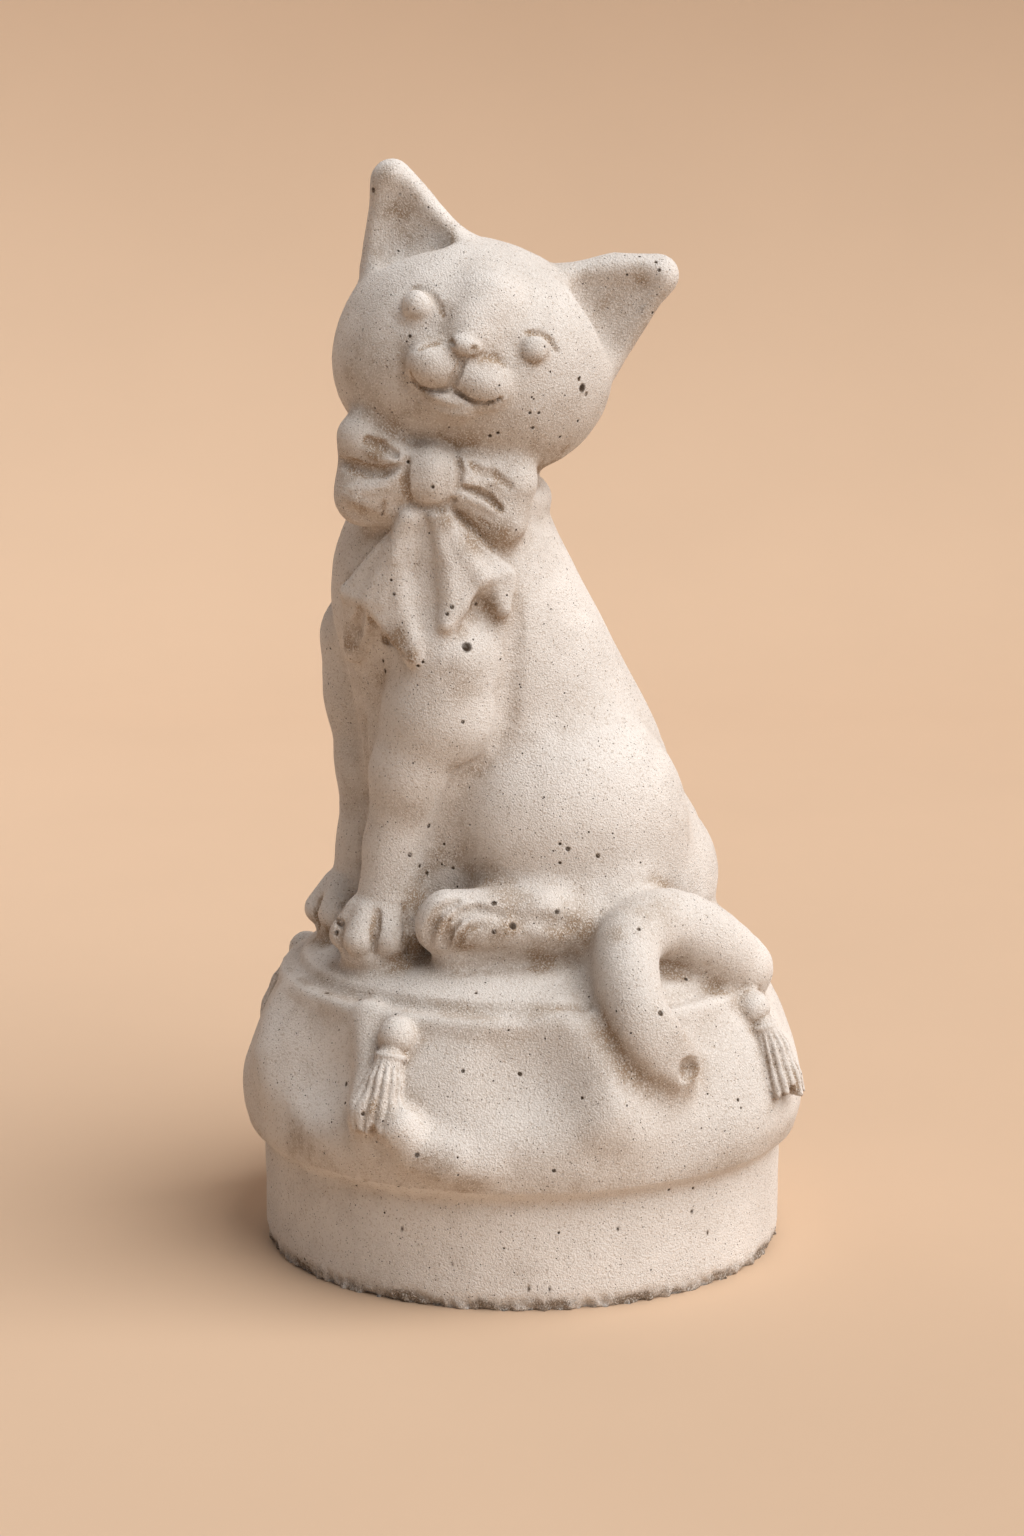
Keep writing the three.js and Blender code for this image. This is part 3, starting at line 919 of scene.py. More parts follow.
@dataclass
class Cat:
    """The cat, built in hundredths of its height."""

    height: float = 281.0
    body: Body = field(default_factory=Body)
    head: Head = field(default_factory=Head)
    bow: Bow = field(default_factory=Bow)

    @property
    def scale(self) -> float:
        """Millimetres to one hundredth of the cat's height."""
        return self.height / 100

    def form(self, seat: float) -> Casting:
        """The whole cat as one form.

        Args:
            seat: height of the seat above the ground.

        Returns:
            The cat, in place.
        """
        cat = Casting(self.scale, (0.0, 0.0, seat))
        self.body.add_to(cat)
        self.head.add_to(cat)
        self.bow.add_to(cat)
        return cat


# Marks drawn on the surface from the photograph's viewpoint


@dataclass(frozen=True)
class Viewpoint:
    """Where the photograph was taken from.

    Lengths are in millimetres and the focal length is in pixels. Nothing of the statue
    lies nearer to the camera than the distance less the clear length.
    """

    turn: float = 72.0
    pitch: float = 11.2
    distance: float = 1323.0
    height: float = 440.0
    aside: float = -3.8
    clear: float = 260.0
    focal: float = 3627.0
    middle: Pixel = (512.0, 768.0)
    lens: float = 85.0
    film: float = 36.0

    def axes(self) -> Points:
        """Right, up and back axes of the view."""
        right, up, out = turned_axes(self.turn)
        c, s = math.cos(math.radians(self.pitch)), math.sin(math.radians(self.pitch))
        return np.array([right, up * c - out * s, out * c + up * s])

    def position(self) -> Points:
        """Where the camera stands."""
        right, up, out = turned_axes(self.turn)
        return out * self.distance + up * self.height + right * self.aside

    def sights(self, pixels: Sequence[Pixel]) -> Points:
        """Directions from the camera through pixels of the photograph.

        Args:
            pixels: across and down, in pixels of the photograph.

        Returns:
            One direction for each, with length one.
        """
        right, up, back = self.axes()
        spots = (np.asarray(pixels, float) - self.middle) / self.focal
        return unit_rows(spots[:, :1] * right - spots[:, 1:] * up - back)

    def trace(self, casting: Casting, pixels: Sequence[Pixel]) -> Points:
        """Places on the casting's surface that the photograph shows at some pixels.

        Args:
            casting: what is looked at.
            pixels: across and down, in pixels of the photograph.

        Returns:
            One place for each pixel.

        Raises:
            ValueError: where a pixel isn't on the casting.
        """
        sights = self.sights(pixels)
        travelled = np.full(len(sights), self.distance - self.clear)
        for _ in range(SIGHT_STEPS):
            gap = casting.distance(self.position() + sights * travelled[:, None])
            travelled += SIGHT_SHARE * np.minimum(gap, REACH)
        missed = [pixel for pixel, rest in zip(pixels, gap) if abs(rest) > SIGHT_GAP]
        if missed:
            raise ValueError(f"these pixels aren't on the statue: {missed}")
        return self.position() + sights * travelled[:, None]


@dataclass
class Stroke:
    """One mark drawn over the surface: a groove or a ridge.

    The path is in pixels of the photograph, and the sizes are in millimetres: the radius
    of the tool, how deep it cuts or how high the ridge stands, and the fillet.
    """

    work: Work
    path: Sequence[Pixel]
    radius: float
    depth: float
    fillet: float = 0.8

    def form(self, points: Points, normals: Points) -> Form:
        """The mark as a form.

        Args:
            points: the path's places on the surface.
            normals: the surface's directions there.

        Returns:
            A ball, or limbs along the path that taper at both ends.
        """
        out = self.radius - self.depth if self.work is Work.CARVE else self.depth - self.radius
        middles = points + normals * out
        if len(points) == 1:
            return Ball(middles[0], self.radius)
        radii = [self.radius] * len(points)
        radii[0] = radii[-1] = 0.75 * self.radius
        return chain(middles, radii, 0.3)


def groove(path: Sequence[Pixel], radius: float, depth: float, fillet: float = 0.8) -> Stroke:
    """A groove along a path."""
    return Stroke(Work.CARVE, path, radius, depth, fillet)


def ridge(path: Sequence[Pixel], radius: float, height: float, fillet: float = 0.8) -> Stroke:
    """A ridge along a path."""
    return Stroke(Work.JOIN, path, radius, height, fillet)


FACE = (
    groove([(414, 288), (425, 291), (434, 298), (440, 307), (443, 315)], 1.5, 0.7, 0.9),
    groove([(391, 316), (401, 326), (416, 330), (432, 325)], 2.0, 0.3, 1.2),
    groove([(527, 333), (540, 334), (550, 341), (557, 351)], 1.4, 0.8, 0.9),
    groove([(552, 344), (557, 351)], 0.9, 1.3, 0.4),
    ridge([(541, 341), (547, 347), (549, 355), (545, 362)], 0.9, 0.4, 0.6),
    groove([(462, 361), (457, 374), (451, 388)], 1.5, 1.6, 0.7),
    groove([(411, 374), (414, 382), (421, 388), (431, 392), (443, 391), (451, 388)], 1.3, 1.6, 0.5),
    groove([(451, 388), (460, 395), (470, 401), (484, 404), (501, 399)], 1.3, 1.9, 0.5),
    groove([(420, 349), (429, 344), (441, 343)], 1.6, 0.6, 1.2),
    groove([(483, 356), (496, 358), (506, 366)], 1.6, 0.6, 1.2),
    ridge([(424, 392), (436, 397), (447, 396)], 1.5, 0.7, 0.9),
    ridge([(456, 398), (467, 406), (481, 410), (496, 407), (504, 399)], 1.5, 0.8, 0.9),
    groove([(432, 404), (446, 409), (460, 410)], 2.6, 0.9, 1.6),
    ridge([(436, 416), (452, 419), (466, 416)], 4.0, 0.7, 2.5),
    groove([(450, 341), (453, 344)], 1.1, 1.2, 0.5),
    groove([(474, 348), (472, 351)], 1.0, 1.2, 0.5),
    groove([(454, 351), (462, 358), (472, 357)], 1.0, 0.9, 0.4),
)

BOW = (
    groove([(368, 441), (380, 446), (394, 454)], 2.4, 2.4, 1.0),
    groove([(342, 462), (354, 467), (367, 471), (383, 473), (400, 467)], 2.4, 2.0, 1.4),
    ridge([(366, 452), (380, 458), (395, 461)], 1.2, 0.6, 0.8),
    groove([(371, 453), (378, 457)], 0.6, 0.9, 0.3),
    ridge([(352, 487), (370, 488), (386, 484), (397, 477)], 2.6, 0.8, 1.8),
    groove([(384, 501), (382, 517)], 0.8, 0.8, 0.4),
    groove([(344, 507), (360, 517), (380, 522)], 5.0, 1.3, 3.0),
    groove([(492, 588), (486, 600), (478, 610)], 4.0, 1.3, 2.0),
    groove([(407, 458), (404, 474), (405, 490), (411, 502)], 1.6, 1.3, 1.0),
    groove([(411, 502), (424, 508), (441, 509), (453, 500)], 1.7, 1.8, 0.9),
    groove([(456, 456), (460, 472), (457, 489)], 1.6, 1.2, 1.0),
    groove([(472, 463), (480, 472), (494, 474), (510, 487)], 1.8, 1.1, 1.3),
    groove([(463, 488), (477, 492), (489, 499), (500, 509)], 1.7, 2.2, 0.8),
    ridge([(470, 499), (484, 506), (497, 514)], 1.5, 0.7, 1.0),
    groove([(480, 519), (489, 527)], 0.8, 1.3, 0.4),
    ridge([(405, 512), (399, 560), (402, 600), (416, 636)], 3.2, 0.6, 2.8),
    groove([(429, 540), (430, 570), (431, 600), (433, 622)], 9.0, 0.9, 5.0),
    groove([(360, 614), (356, 630), (352, 645)], 3.4, 2.0, 1.2),
    groove([(371, 620), (385, 640), (402, 655)], 1.6, 1.5, 0.8),
    ridge([(444, 640), (441, 660), (434, 690)], 0.6, 0.35, 0.4),
)

LEGS = (
    groove([(343, 905), (341, 925), (340, 945)], 1.5, 1.2, 0.8),
    groove([(377, 912), (376, 930), (374, 950)], 1.7, 1.5, 0.8),
    groove([(404, 905), (408, 925), (404, 943)], 1.7, 1.4, 0.8),
    groove([(322, 898), (318, 912), (319, 928)], 1.3, 1.1, 0.8),
    groove([(429, 944), (430, 926), (439, 911), (456, 902)], 2.2, 1.9, 1.2),
    groove([(445, 946), (449, 927), (460, 914), (477, 909), (500, 914)], 2.2, 2.1, 1.2),
    groove([(500, 914), (530, 920), (572, 926)], 4.0, 0.9, 3.0),
    groove([(458, 948), (461, 936), (470, 928), (482, 926)], 1.3, 0.9, 0.8),
    groove([(515, 604), (512, 660), (506, 710), (492, 748)], 4.0, 1.1, 3.0),
    groove([(484, 760), (460, 772), (444, 800), (436, 840)], 3.2, 1.4, 2.0),
    groove([(364, 720), (366, 760), (369, 800)], 2.6, 1.6, 1.6),
    groove([(690, 1070)], 5.4, 4.2, 0.5),
)

CUSHION = (
    ridge([(364, 1014), (361, 1060), (360, 1108), (368, 1146)], 7.0, 2.4, 5.0),
    groove([(320, 1034), (325, 1076), (330, 1112)], 26.0, 4.0, 7.0),
    ridge([(560, 1016), (578, 1046), (592, 1078), (610, 1108), (640, 1134)], 12.0, 3.8, 9.0),
    groove([(520, 1046), (536, 1082), (560, 1122)], 30.0, 4.0, 9.0),
    ridge([(388, 1134), (414, 1150), (452, 1164), (484, 1170)], 10.0, 5.0, 5.0),
    groove([(654, 1040), (694, 1108)], 34.0, 2.2, 10.0),
    ridge([(276, 1000), (264, 1050), (270, 1096)], 9.0, 1.4, 7.0),
)

# Pits and chips: across, down and radius, in pixels of the photograph
PITS = (
    (467, 647, 6.2), (463, 722, 2.3), (463, 1071, 2.4), (347, 666, 3.2), (385, 671, 3.0),
    (383, 661, 2.2), (373, 190, 3.4), (661, 1013, 3.2), (639, 929, 2.6), (513, 926, 4.6),
    (494, 932, 3.0), (494, 903, 3.4), (557, 912, 3.4), (582, 388, 5.4), (579, 379, 2.4),
    (586, 394, 3.0), (410, 336, 2.4), (490, 436, 2.4), (498, 433, 2.2), (530, 413, 2.0),
    (539, 413, 2.0), (533, 428, 2.2), (560, 437, 2.0), (578, 421, 2.0), (337, 933, 3.4),
    (410, 855, 2.8), (429, 826, 3.0), (420, 866, 2.4), (427, 873, 2.2), (444, 844, 1.9),
    (560, 844, 2.0), (568, 849, 3.0), (598, 856, 2.6), (560, 863, 2.0), (453, 868, 2.2),
    (327, 993, 3.0), (360, 1000, 2.0), (476, 993, 2.0), (346, 1084, 3.0), (345, 1103, 1.9),
    (417, 1155, 3.2), (363, 1114, 2.6), (520, 1074, 2.4), (554, 1171, 2.4), (686, 979, 2.6),
    (738, 1100, 2.4), (741, 1108, 1.8), (582, 1098, 2.0), (692, 1212, 2.2), (705, 1207, 2.0),
    (708, 1232, 1.9), (618, 1229, 1.9), (529, 1288, 2.8), (550, 1288, 2.4), (452, 1263, 2.4),
    (402, 1229, 1.9), (669, 1190, 1.9), (693, 1188, 2.0), (452, 607, 2.6), (447, 614, 2.4),
    (394, 594, 2.2), (391, 580, 1.8), (418, 666, 2.4), (423, 662, 2.0), (476, 604, 2.2),
    (433, 487, 2.2), (408, 462, 2.0), (659, 270, 2.4), (656, 262, 2.0), (653, 313, 1.9),
)


# Brown marks, partly real dirt and partly painted shade on the side turned from the light and under
# the chin, muzzle, knot and loops: across, down and radius in pixels of the photograph, and how
# strong it is
DIRT_AND_PAINTED_SHADE = (
    (362, 372, 36, 0.40), (428, 394, 13, 0.70), (452, 378, 9, 0.80), (483, 406, 14, 0.60),
    (451, 342, 6, 0.60), (474, 349, 6, 0.60), (472, 434, 26, 0.45), (420, 412, 18, 0.45),
    (425, 505, 16, 0.60), (357, 516, 26, 0.50), (498, 536, 18, 0.45), (380, 450, 15, 0.60),
    (486, 496, 16, 0.60), (354, 636, 15, 0.90), (393, 641, 19, 0.80), (489, 603, 14, 0.90),
    (462, 632, 9, 0.60), (412, 656, 10, 0.80), (380, 674, 16, 0.40), (352, 800, 18, 0.45),
    (340, 925, 20, 0.60), (376, 942, 12, 0.50), (404, 932, 10, 0.50), (440, 926, 15, 0.60),
    (500, 927, 30, 0.50), (562, 924, 26, 0.50), (612, 932, 14, 0.50), (690, 1073, 13, 0.90),
    (582, 905, 26, 0.35), (382, 1110, 18, 0.60), (430, 1168, 24, 0.50), (300, 1148, 28, 0.35),
    (393, 205, 15, 0.45), (622, 288, 18, 0.50), (446, 846, 34, 0.35), (444, 520, 12, 0.40),
    (402, 224, 26, 0.55), (415, 232, 14, 0.60), (385, 180, 16, 0.40), (642, 279, 14, 0.55),
    (610, 300, 24, 0.45), (640, 320, 20, 0.35), (500, 430, 40, 0.35), (560, 430, 34, 0.30),
    (437, 387, 10, 0.45), (468, 396, 10, 0.45), (404, 380, 10, 0.50), (345, 470, 20, 0.40),
    (352, 645, 14, 0.80), (474, 540, 16, 0.40), (408, 880, 26, 0.40), (446, 800, 20, 0.40),
    (520, 890, 40, 0.30), (640, 900, 40, 0.30), (450, 690, 30, 0.25), (362, 720, 20, 0.40),
)


# The surface of a casting as a mesh


def ripple(points: Points, size: float) -> Values:
    """Smooth uneven values from about -1 to 1.

    Args:
        points: where they are wanted, in millimetres.
        size: rough size of a bump, in millimetres.

    Returns:
        One value for each point.
    """
    return np.array([noise.noise(Vector(point)) for point in points / size])


def rippled(points: Points, layers: Sequence[Triple]) -> Values:
    """Layers of ripples, one over the other.

    Args:
        points: where they are wanted, in millimetres.
        layers: for each, how strong it is, the rough size of its bumps and how far the
            points are shifted, so that no two layers are alike.

    Returns:
        One value for each point.
    """
    return sum(strength * ripple(points + shift, size) for strength, size, shift in layers)


def grid_steps(counts: Sequence[int]) -> np.ndarray:
    """All the whole-numbered places of a grid with so many steps along each axis."""
    steps = np.meshgrid(*(np.arange(count) for count in counts), indexing="ij")
    return np.stack(steps, -1).reshape(-1, 3)


@dataclass
class Nets:
    """Draws a casting's surface on a grid of cubes: a point in each cube that it crosses.

    The distance is first worked out for blocks of cubes, and then for the cubes of the
    blocks that the surface can cross. A block reaches from its middle to a corner by a
    share of its width, with some slack and a margin in millimetres.
    """

    cell: float = 1.5
    block: int = 4
    block_reach: float = 1.0875
    margin: float = 3.0

    def values(self, casting: Casting) -> tuple[Points, np.ndarray]:
        """Distances on the grid.

        Args:
            casting: what is drawn.

        Returns:
            The grid's lowest corner, and the distances.
        """
        low, high = casting.box()
        low = low - 2 * self.cell
        size = self.cell * self.block
        counts = np.ceil((high + 2 * self.cell - low) / size).astype(int)
        places = grid_steps(counts)
        centres = low + (places + 0.5) * size - 0.5 * self.cell
        coarse = casting.distance(centres)
        near = np.abs(coarse) < self.block_reach * size + self.margin
        fine = np.repeat(coarse.reshape(counts), self.block, 0)
        fine = np.repeat(np.repeat(fine, self.block, 1), self.block, 2).astype(np.float32)
        steps = grid_steps([self.block] * 3)
        spots = (places[near][:, None] * self.block + steps).reshape(-1, 3)
        fine[tuple(spots.T)] = casting.distance(low + spots * self.cell)
        return low, fine

    def draw(self, casting: Casting) -> tuple[Points, np.ndarray]:
        """The surface as points and four-sided faces.

        Args:
            casting: what is drawn.

        Returns:
            The points, and the faces as rows of four point numbers.
        """
        low, values = self.values(casting)
        strides = np.array([values.shape[1] * values.shape[2], values.shape[2], 1])
        inside = values < 0
        loops, crossings = [], []
        for axis in range(3):
            first = [slice(None)] * 3
            second = [slice(None)] * 3
            first[axis], second[axis] = slice(None, -1), slice(1, None)
            start = np.argwhere(inside[tuple(first)] != inside[tuple(second)])
            end = start + np.eye(3, dtype=int)[axis]
            a, b = values[tuple(start.T)], values[tuple(end.T)]
            crossings.append(start + (end - start) * (a / (a - b))[:, None])
            here = start @ strides
            across, beyond = strides[(axis + 1) % 3], strides[(axis + 2) % 3]
            loop = np.stack([here - across - beyond, here - beyond, here, here - across], 1)
            flip = ~inside[tuple(start.T)]
            loop[flip] = loop[flip][:, ::-1]
            loops.append(loop)
        cubes = np.vstack(loops)
        found, faces = np.unique(cubes, return_inverse=True)
        faces = faces.reshape(-1, 4)
        crossing = np.repeat(np.vstack(crossings), 4, axis=0)
        weight = np.bincount(faces.ravel())
        sums = [np.bincount(faces.ravel(), crossing[:, i]) for i in range(3)]
        return low + np.stack(sums, 1) / weight[:, None] * self.cell, faces


def settle(
    casting: Casting, points: Points, passes: int, most: float = 1.5, flattest: float = 0.3,
) -> Points:
    """Moves points along the slope of the distance until they lie on the surface.

    Args:
        casting: whose surface they are brought to.
        points: the points.
        passes: how many times they are moved.
        most: the furthest that one pass moves a point.
        flattest: the least square of the slope that is reckoned with.

    Returns:
        The moved points.
    """
    for _ in range(passes):
        gap, slope = casting.sense(points)
        gap = np.clip(gap, -most, most)
        points = points - slope * (gap / np.maximum(dots(slope, slope), flattest))[:, None]
    return points


# Node trees


class Socket:
    """A socket of a node tree, so that shader maths is written as expressions."""

    def __init__(self, tree: bpy.types.NodeTree, socket: bpy.types.NodeSocket) -> None:
        """Wraps one output socket."""
        self.tree = tree
        self.socket = socket

    def maths(
        self, operation: str, *others: Any, first: Any = None, clamp: bool = False,
    ) -> "Socket":
        """Adds a Math node.

        Args:
            operation: the node's operation.
            others: the further values or sockets.
            first: a value that goes before this socket, for the reflected forms.
            clamp: whether the result is kept between 0 and 1.

        Returns:
            The result.
        """
        values = ([first] if first is not None else []) + [self, *others]
        inputs = dict(enumerate(values))
        return add_node(self.tree, "Math", {"operation": operation, "use_clamp": clamp}, inputs)

    def __add__(self, other: Any) -> "Socket":
        """Sum."""
        return self.maths("ADD", other)

    __radd__ = __add__

    def __mul__(self, other: Any) -> "Socket":
        """Product."""
        return self.maths("MULTIPLY", other)

    __rmul__ = __mul__

    def __sub__(self, other: Any) -> "Socket":
        """Difference."""
        return self.maths("SUBTRACT", other)

    def __rsub__(self, other: Any) -> "Socket":
        """Difference from a plain number."""
        return self.maths("SUBTRACT", first=other)

    def __truediv__(self, other: Any) -> "Socket":
        """Quotient."""
        return self.maths("DIVIDE", other)

    def most(self, other: Any) -> "Socket":
        """The greater of two values."""
        return self.maths("MAXIMUM", other)

    def kept(self) -> "Socket":
        """The value kept between 0 and 1."""
        return self.maths("ADD", 0.0, clamp=True)

    def between(self, low: float, high: float) -> "Socket":
        """A smooth step from 0 at one value to 1 at another."""
        inputs = {0: self, 1: low, 2: high, 3: 0.0, 4: 1.0}
        settings = {"interpolation_type": "SMOOTHSTEP"}
        return add_node(self.tree, "MapRange", settings, inputs)


def add_node(
    tree: bpy.types.NodeTree,
    kind: str,
    settings: dict[str, Any],
    inputs: dict[Any, Any],
    output: Any = 0,
) -> Socket:
    """Adds any shader node.

    Args:
        tree: the material's node tree.
        kind: the node's type, without its ShaderNode prefix.
        settings: its settings, set before its sockets.
        inputs: values or sockets, by the name or number of the node's input.
        output: the name or number of the output that is wanted.

    Returns:
        That output.
    """
    node = tree.nodes.new("ShaderNode" + kind)
    for name, value in settings.items():
        setattr(node, name, value)
    for name, value in inputs.items():
        if isinstance(value, Socket):
            tree.links.new(value.socket, node.inputs[name])
        else:
            node.inputs[name].default_value = value
    return Socket(tree, node.outputs[output])


Colour = tuple[float, float, float]


def mixed(factor: Any, a: Any, b: Any) -> Socket:
    """Mixes two colours.

    Args:
        factor: share of the second colour, a number or a socket.
        a: the first colour, as a socket or three numbers.
        b: the second colour, as a socket or three numbers.

    Returns:
        The mixed colour.
    """
    tree = next(value.tree for value in (factor, a, b) if isinstance(value, Socket))
    a, b = ((*value, 1.0) if isinstance(value, tuple) else value for value in (a, b))
    return add_node(tree, "Mix", {"data_type": "RGBA"}, {0: factor, 6: a, 7: b}, 2)


def noise_at(place: Socket, scale: float, detail: float, roughness: float = 0.6) -> Socket:
    """Cloudy values from 0 to 1, so many to a metre."""
    inputs = {"Vector": place, "Scale": scale, "Detail": detail, "Roughness": roughness}
    return add_node(place.tree, "TexNoise", {}, inputs, 0)


def empty_material(name: str) -> tuple[bpy.types.Material, Socket]:
    """Starts a material.

    Args:
        name: the material's name.

    Returns:
        The material, and where its surface is, in the object's own coordinates.
    """
    material = bpy.data.materials.new(name)
    material.use_nodes = True
    material.node_tree.nodes.clear()
    return material, add_node(material.node_tree, "TexCoord", {}, {}, "Object")


def add_shader(inputs: dict[str, Any]) -> None:
    """Adds the surface's shader and joins it to the material's output.

    Args:
        inputs: values or sockets of the shader, its base colour as a socket.
    """
    tree = inputs["Base Color"].tree
    shader = add_node(tree, "BsdfPrincipled", {}, inputs)
    output = tree.nodes.new("ShaderNodeOutputMaterial")
    tree.links.new(shader.socket, output.inputs["Surface"])


def add_object(name: str, data: bpy.types.ID) -> bpy.types.Object:
    """Adds an object with its mesh, lamp or camera to the scene."""
    added = bpy.data.objects.new(name, data)
    bpy.context.scene.collection.objects.link(added)
    return added


@dataclass(frozen=True)
class Concrete:
    """Weathered cast concrete: fine sand grain, air pits painted dark as shade, brown dirt and
    painted shade in the hollows, pale crests.

    A scale is so many to a metre. Each size of pit has the scale of its cells, the radius
    of a pit as a share of its cell, and the share of the cells that hold one. The raw band
    lies between two heights above the ground, in metres.
    """

    pale: Colour = (0.82, 0.785, 0.755)
    main: Colour = (0.66, 0.62, 0.585)
    dull: Colour = (0.52, 0.47, 0.43)
    # brown of dirt, also used as painted shade in hollows, creases and undersides, and for the
    # specks
    dirt_and_painted_shade: Colour = (0.31, 0.215, 0.135)
    raw: Colour = (0.20, 0.155, 0.115)
    # near black: painted shade inside the air pits
    pit: Colour = (0.050, 0.034, 0.022)
    roughness: float = 0.92
    pit_sizes: tuple[tuple[int, float, float], ...] = (
        (1250, 0.34, 0.10), (760, 0.25, 0.08), (420, 0.19, 0.07), (200, 0.12, 0.05),
        (110, 0.09, 0.03),
    )
    smallest_deep_pits: int = 420
    warp_scale: float = 520.0
    warp_size: float = 0.0007
    grain_scale: float = 1500.0
    skin_scale: float = 260.0
    dull_share: float = 0.34
    crest_share: float = 0.45
    dirt_and_shade_share: float = 0.85
    raw_share: float = 0.9
    raw_band: tuple[float, float] = (0.002, 0.0065)
    raw_waver: float = 0.004
    speck_share: float = 0.42
    grain_share: float = 0.6
    bump_strength: float = 0.7

    def material(self) -> bpy.types.Material:
        """The finish as a material."""
        material, place = empty_material("weathered_concrete")
        pits, pit_depth = self.pits(place)
        grain = noise_at(place, self.grain_scale, 2)
        add_shader({
            "Base Color": self.colour(place, grain, pits),
            "Roughness": self.roughness + 0.06 * (grain - 0.5),
            "Specular IOR Level": 0.25,
            "Normal": self.relief(place, grain, pit_depth),
        })
        return material

    def pits(self, place: Socket) -> tuple[Socket, Socket]:
        """Air pits of several sizes, each a round spot painted dark as the shade inside it.

        Args:
            place: where the surface is.

        Returns:
            How far a place is inside a pit, and how deep the pit is there.
        """
        spots = deep = None
        warped = self.warped(place)
        for scale, radius, share in self.pit_sizes:
            inputs = {"Vector": warped, "Scale": float(scale), "Randomness": 1.0}
            distance = add_node(place.tree, "TexVoronoi", {}, inputs, "Distance")
            colour = Socket(place.tree, distance.socket.node.outputs["Color"])
            chance = add_node(place.tree, "SeparateColor", {}, {0: colour}, 0)
            chosen = 1 - chance.between(share * 0.9, share * 1.1)
            size = radius * (0.6 + 0.4 * chance / share)
            spot = chosen * (1 - (distance / size).between(0.55, 1.15))
            if scale == self.smallest_deep_pits:
                deep = spot
            elif deep is not None:
                deep = deep.most(spot)
            spots = spot if spots is None else spots.most(spot)
        return spots, deep

    def warped(self, place: Socket) -> Socket:
        """Places moved a little this way and that, so that spots aren't quite round."""
        inputs = {"Vector": place, "Scale": self.warp_scale, "Detail": 1.0}
        cloud = add_node(place.tree, "TexNoise", {}, inputs, 1)
        inputs = {0: cloud, 1: (0.5, 0.5, 0.5)}
        centred = add_node(place.tree, "VectorMath", {"operation": "SUBTRACT"}, inputs)
        inputs = {0: centred, 1: (self.warp_size,) * 3, 2: place}
        return add_node(place.tree, "VectorMath", {"operation": "MULTIPLY_ADD"}, inputs)

    def mark(self, place: Socket, name: str) -> Socket:
        """One of the marks that the mesh carries at each point."""
        return add_node(place.tree, "Attribute", {"attribute_name": name}, {}, "Fac")

    def colour(self, place: Socket, grain: Socket, pits: Socket) -> Socket:
        """Base colour: mottled grey, pale crests, brown dirt and painted shade in hollows, fine
        grooves and undersides, raw foot, grain, and pits painted dark as shade.

        Args:
            place: where the surface is.
            grain: the sand grain.
            pits: how far a place is inside a pit.

        Returns:
            The colour.
        """
        broad = noise_at(place, 14, 3).between(0.36, 0.66)
        blotch = noise_at(place, 55, 4).between(0.42, 0.68)
        speck = noise_at(place, 1000, 2).between(0.55, 0.68)
        # Painted shade and dirt: brown where the surface is shut in and where the listed marks lie
        soiled_and_shaded = (self.mark(place, "hollow") * 1.1).most(self.mark(place, "dirt_and_painted_shade") * 1.6)
        soiled_and_shaded = (soiled_and_shaded * (0.5 + 1.0 * blotch)).kept()
        height = add_node(place.tree, "SeparateXYZ", {}, {0: place}, 2)
        waver = self.raw_waver * (noise_at(place, 160, 3) - 0.5)
        raw = 1 - (height + waver).between(*self.raw_band)
        raw = (raw * (0.45 + 1.2 * blotch)).kept()
        tone = mixed(broad, self.main, self.pale)
        tone = mixed(self.dull_share * blotch, tone, self.dull)
        tone = mixed(self.crest_share * self.mark(place, "crest"), tone, self.pale)
        tone = mixed(self.dirt_and_shade_share * soiled_and_shaded, tone, self.dirt_and_painted_shade)
        tone = mixed(self.raw_share * raw, tone, self.raw)
        tone = mixed(self.speck_share * speck, tone, self.dirt_and_painted_shade)
        tone = mixed(self.grain_share * grain.between(0.50, 0.62), tone, self.pale)
        # pits painted near black, as the shade inside them
        return mixed(pits.most(self.mark(place, "pit")), tone, self.pit)

    def relief(self, place: Socket, grain: Socket, pits: Socket) -> Socket:
        """Bump of the sand grain, the uneven skin and the pits."""
        height = 1.0 * grain + 0.2 * noise_at(place, self.skin_scale, 2) - 1.5 * pits
        inputs = {"Strength": self.bump_strength, "Distance": METRE, "Height": height}
        return add_node(place.tree, "Bump", {}, inputs)


# The statue


def report(stage: str, mesh: bpy.types.Mesh) -> None:
    """Writes the size of a mesh to the log."""
    log.info("%s: %d points, %d faces", stage, len(mesh.vertices), len(mesh.polygons))


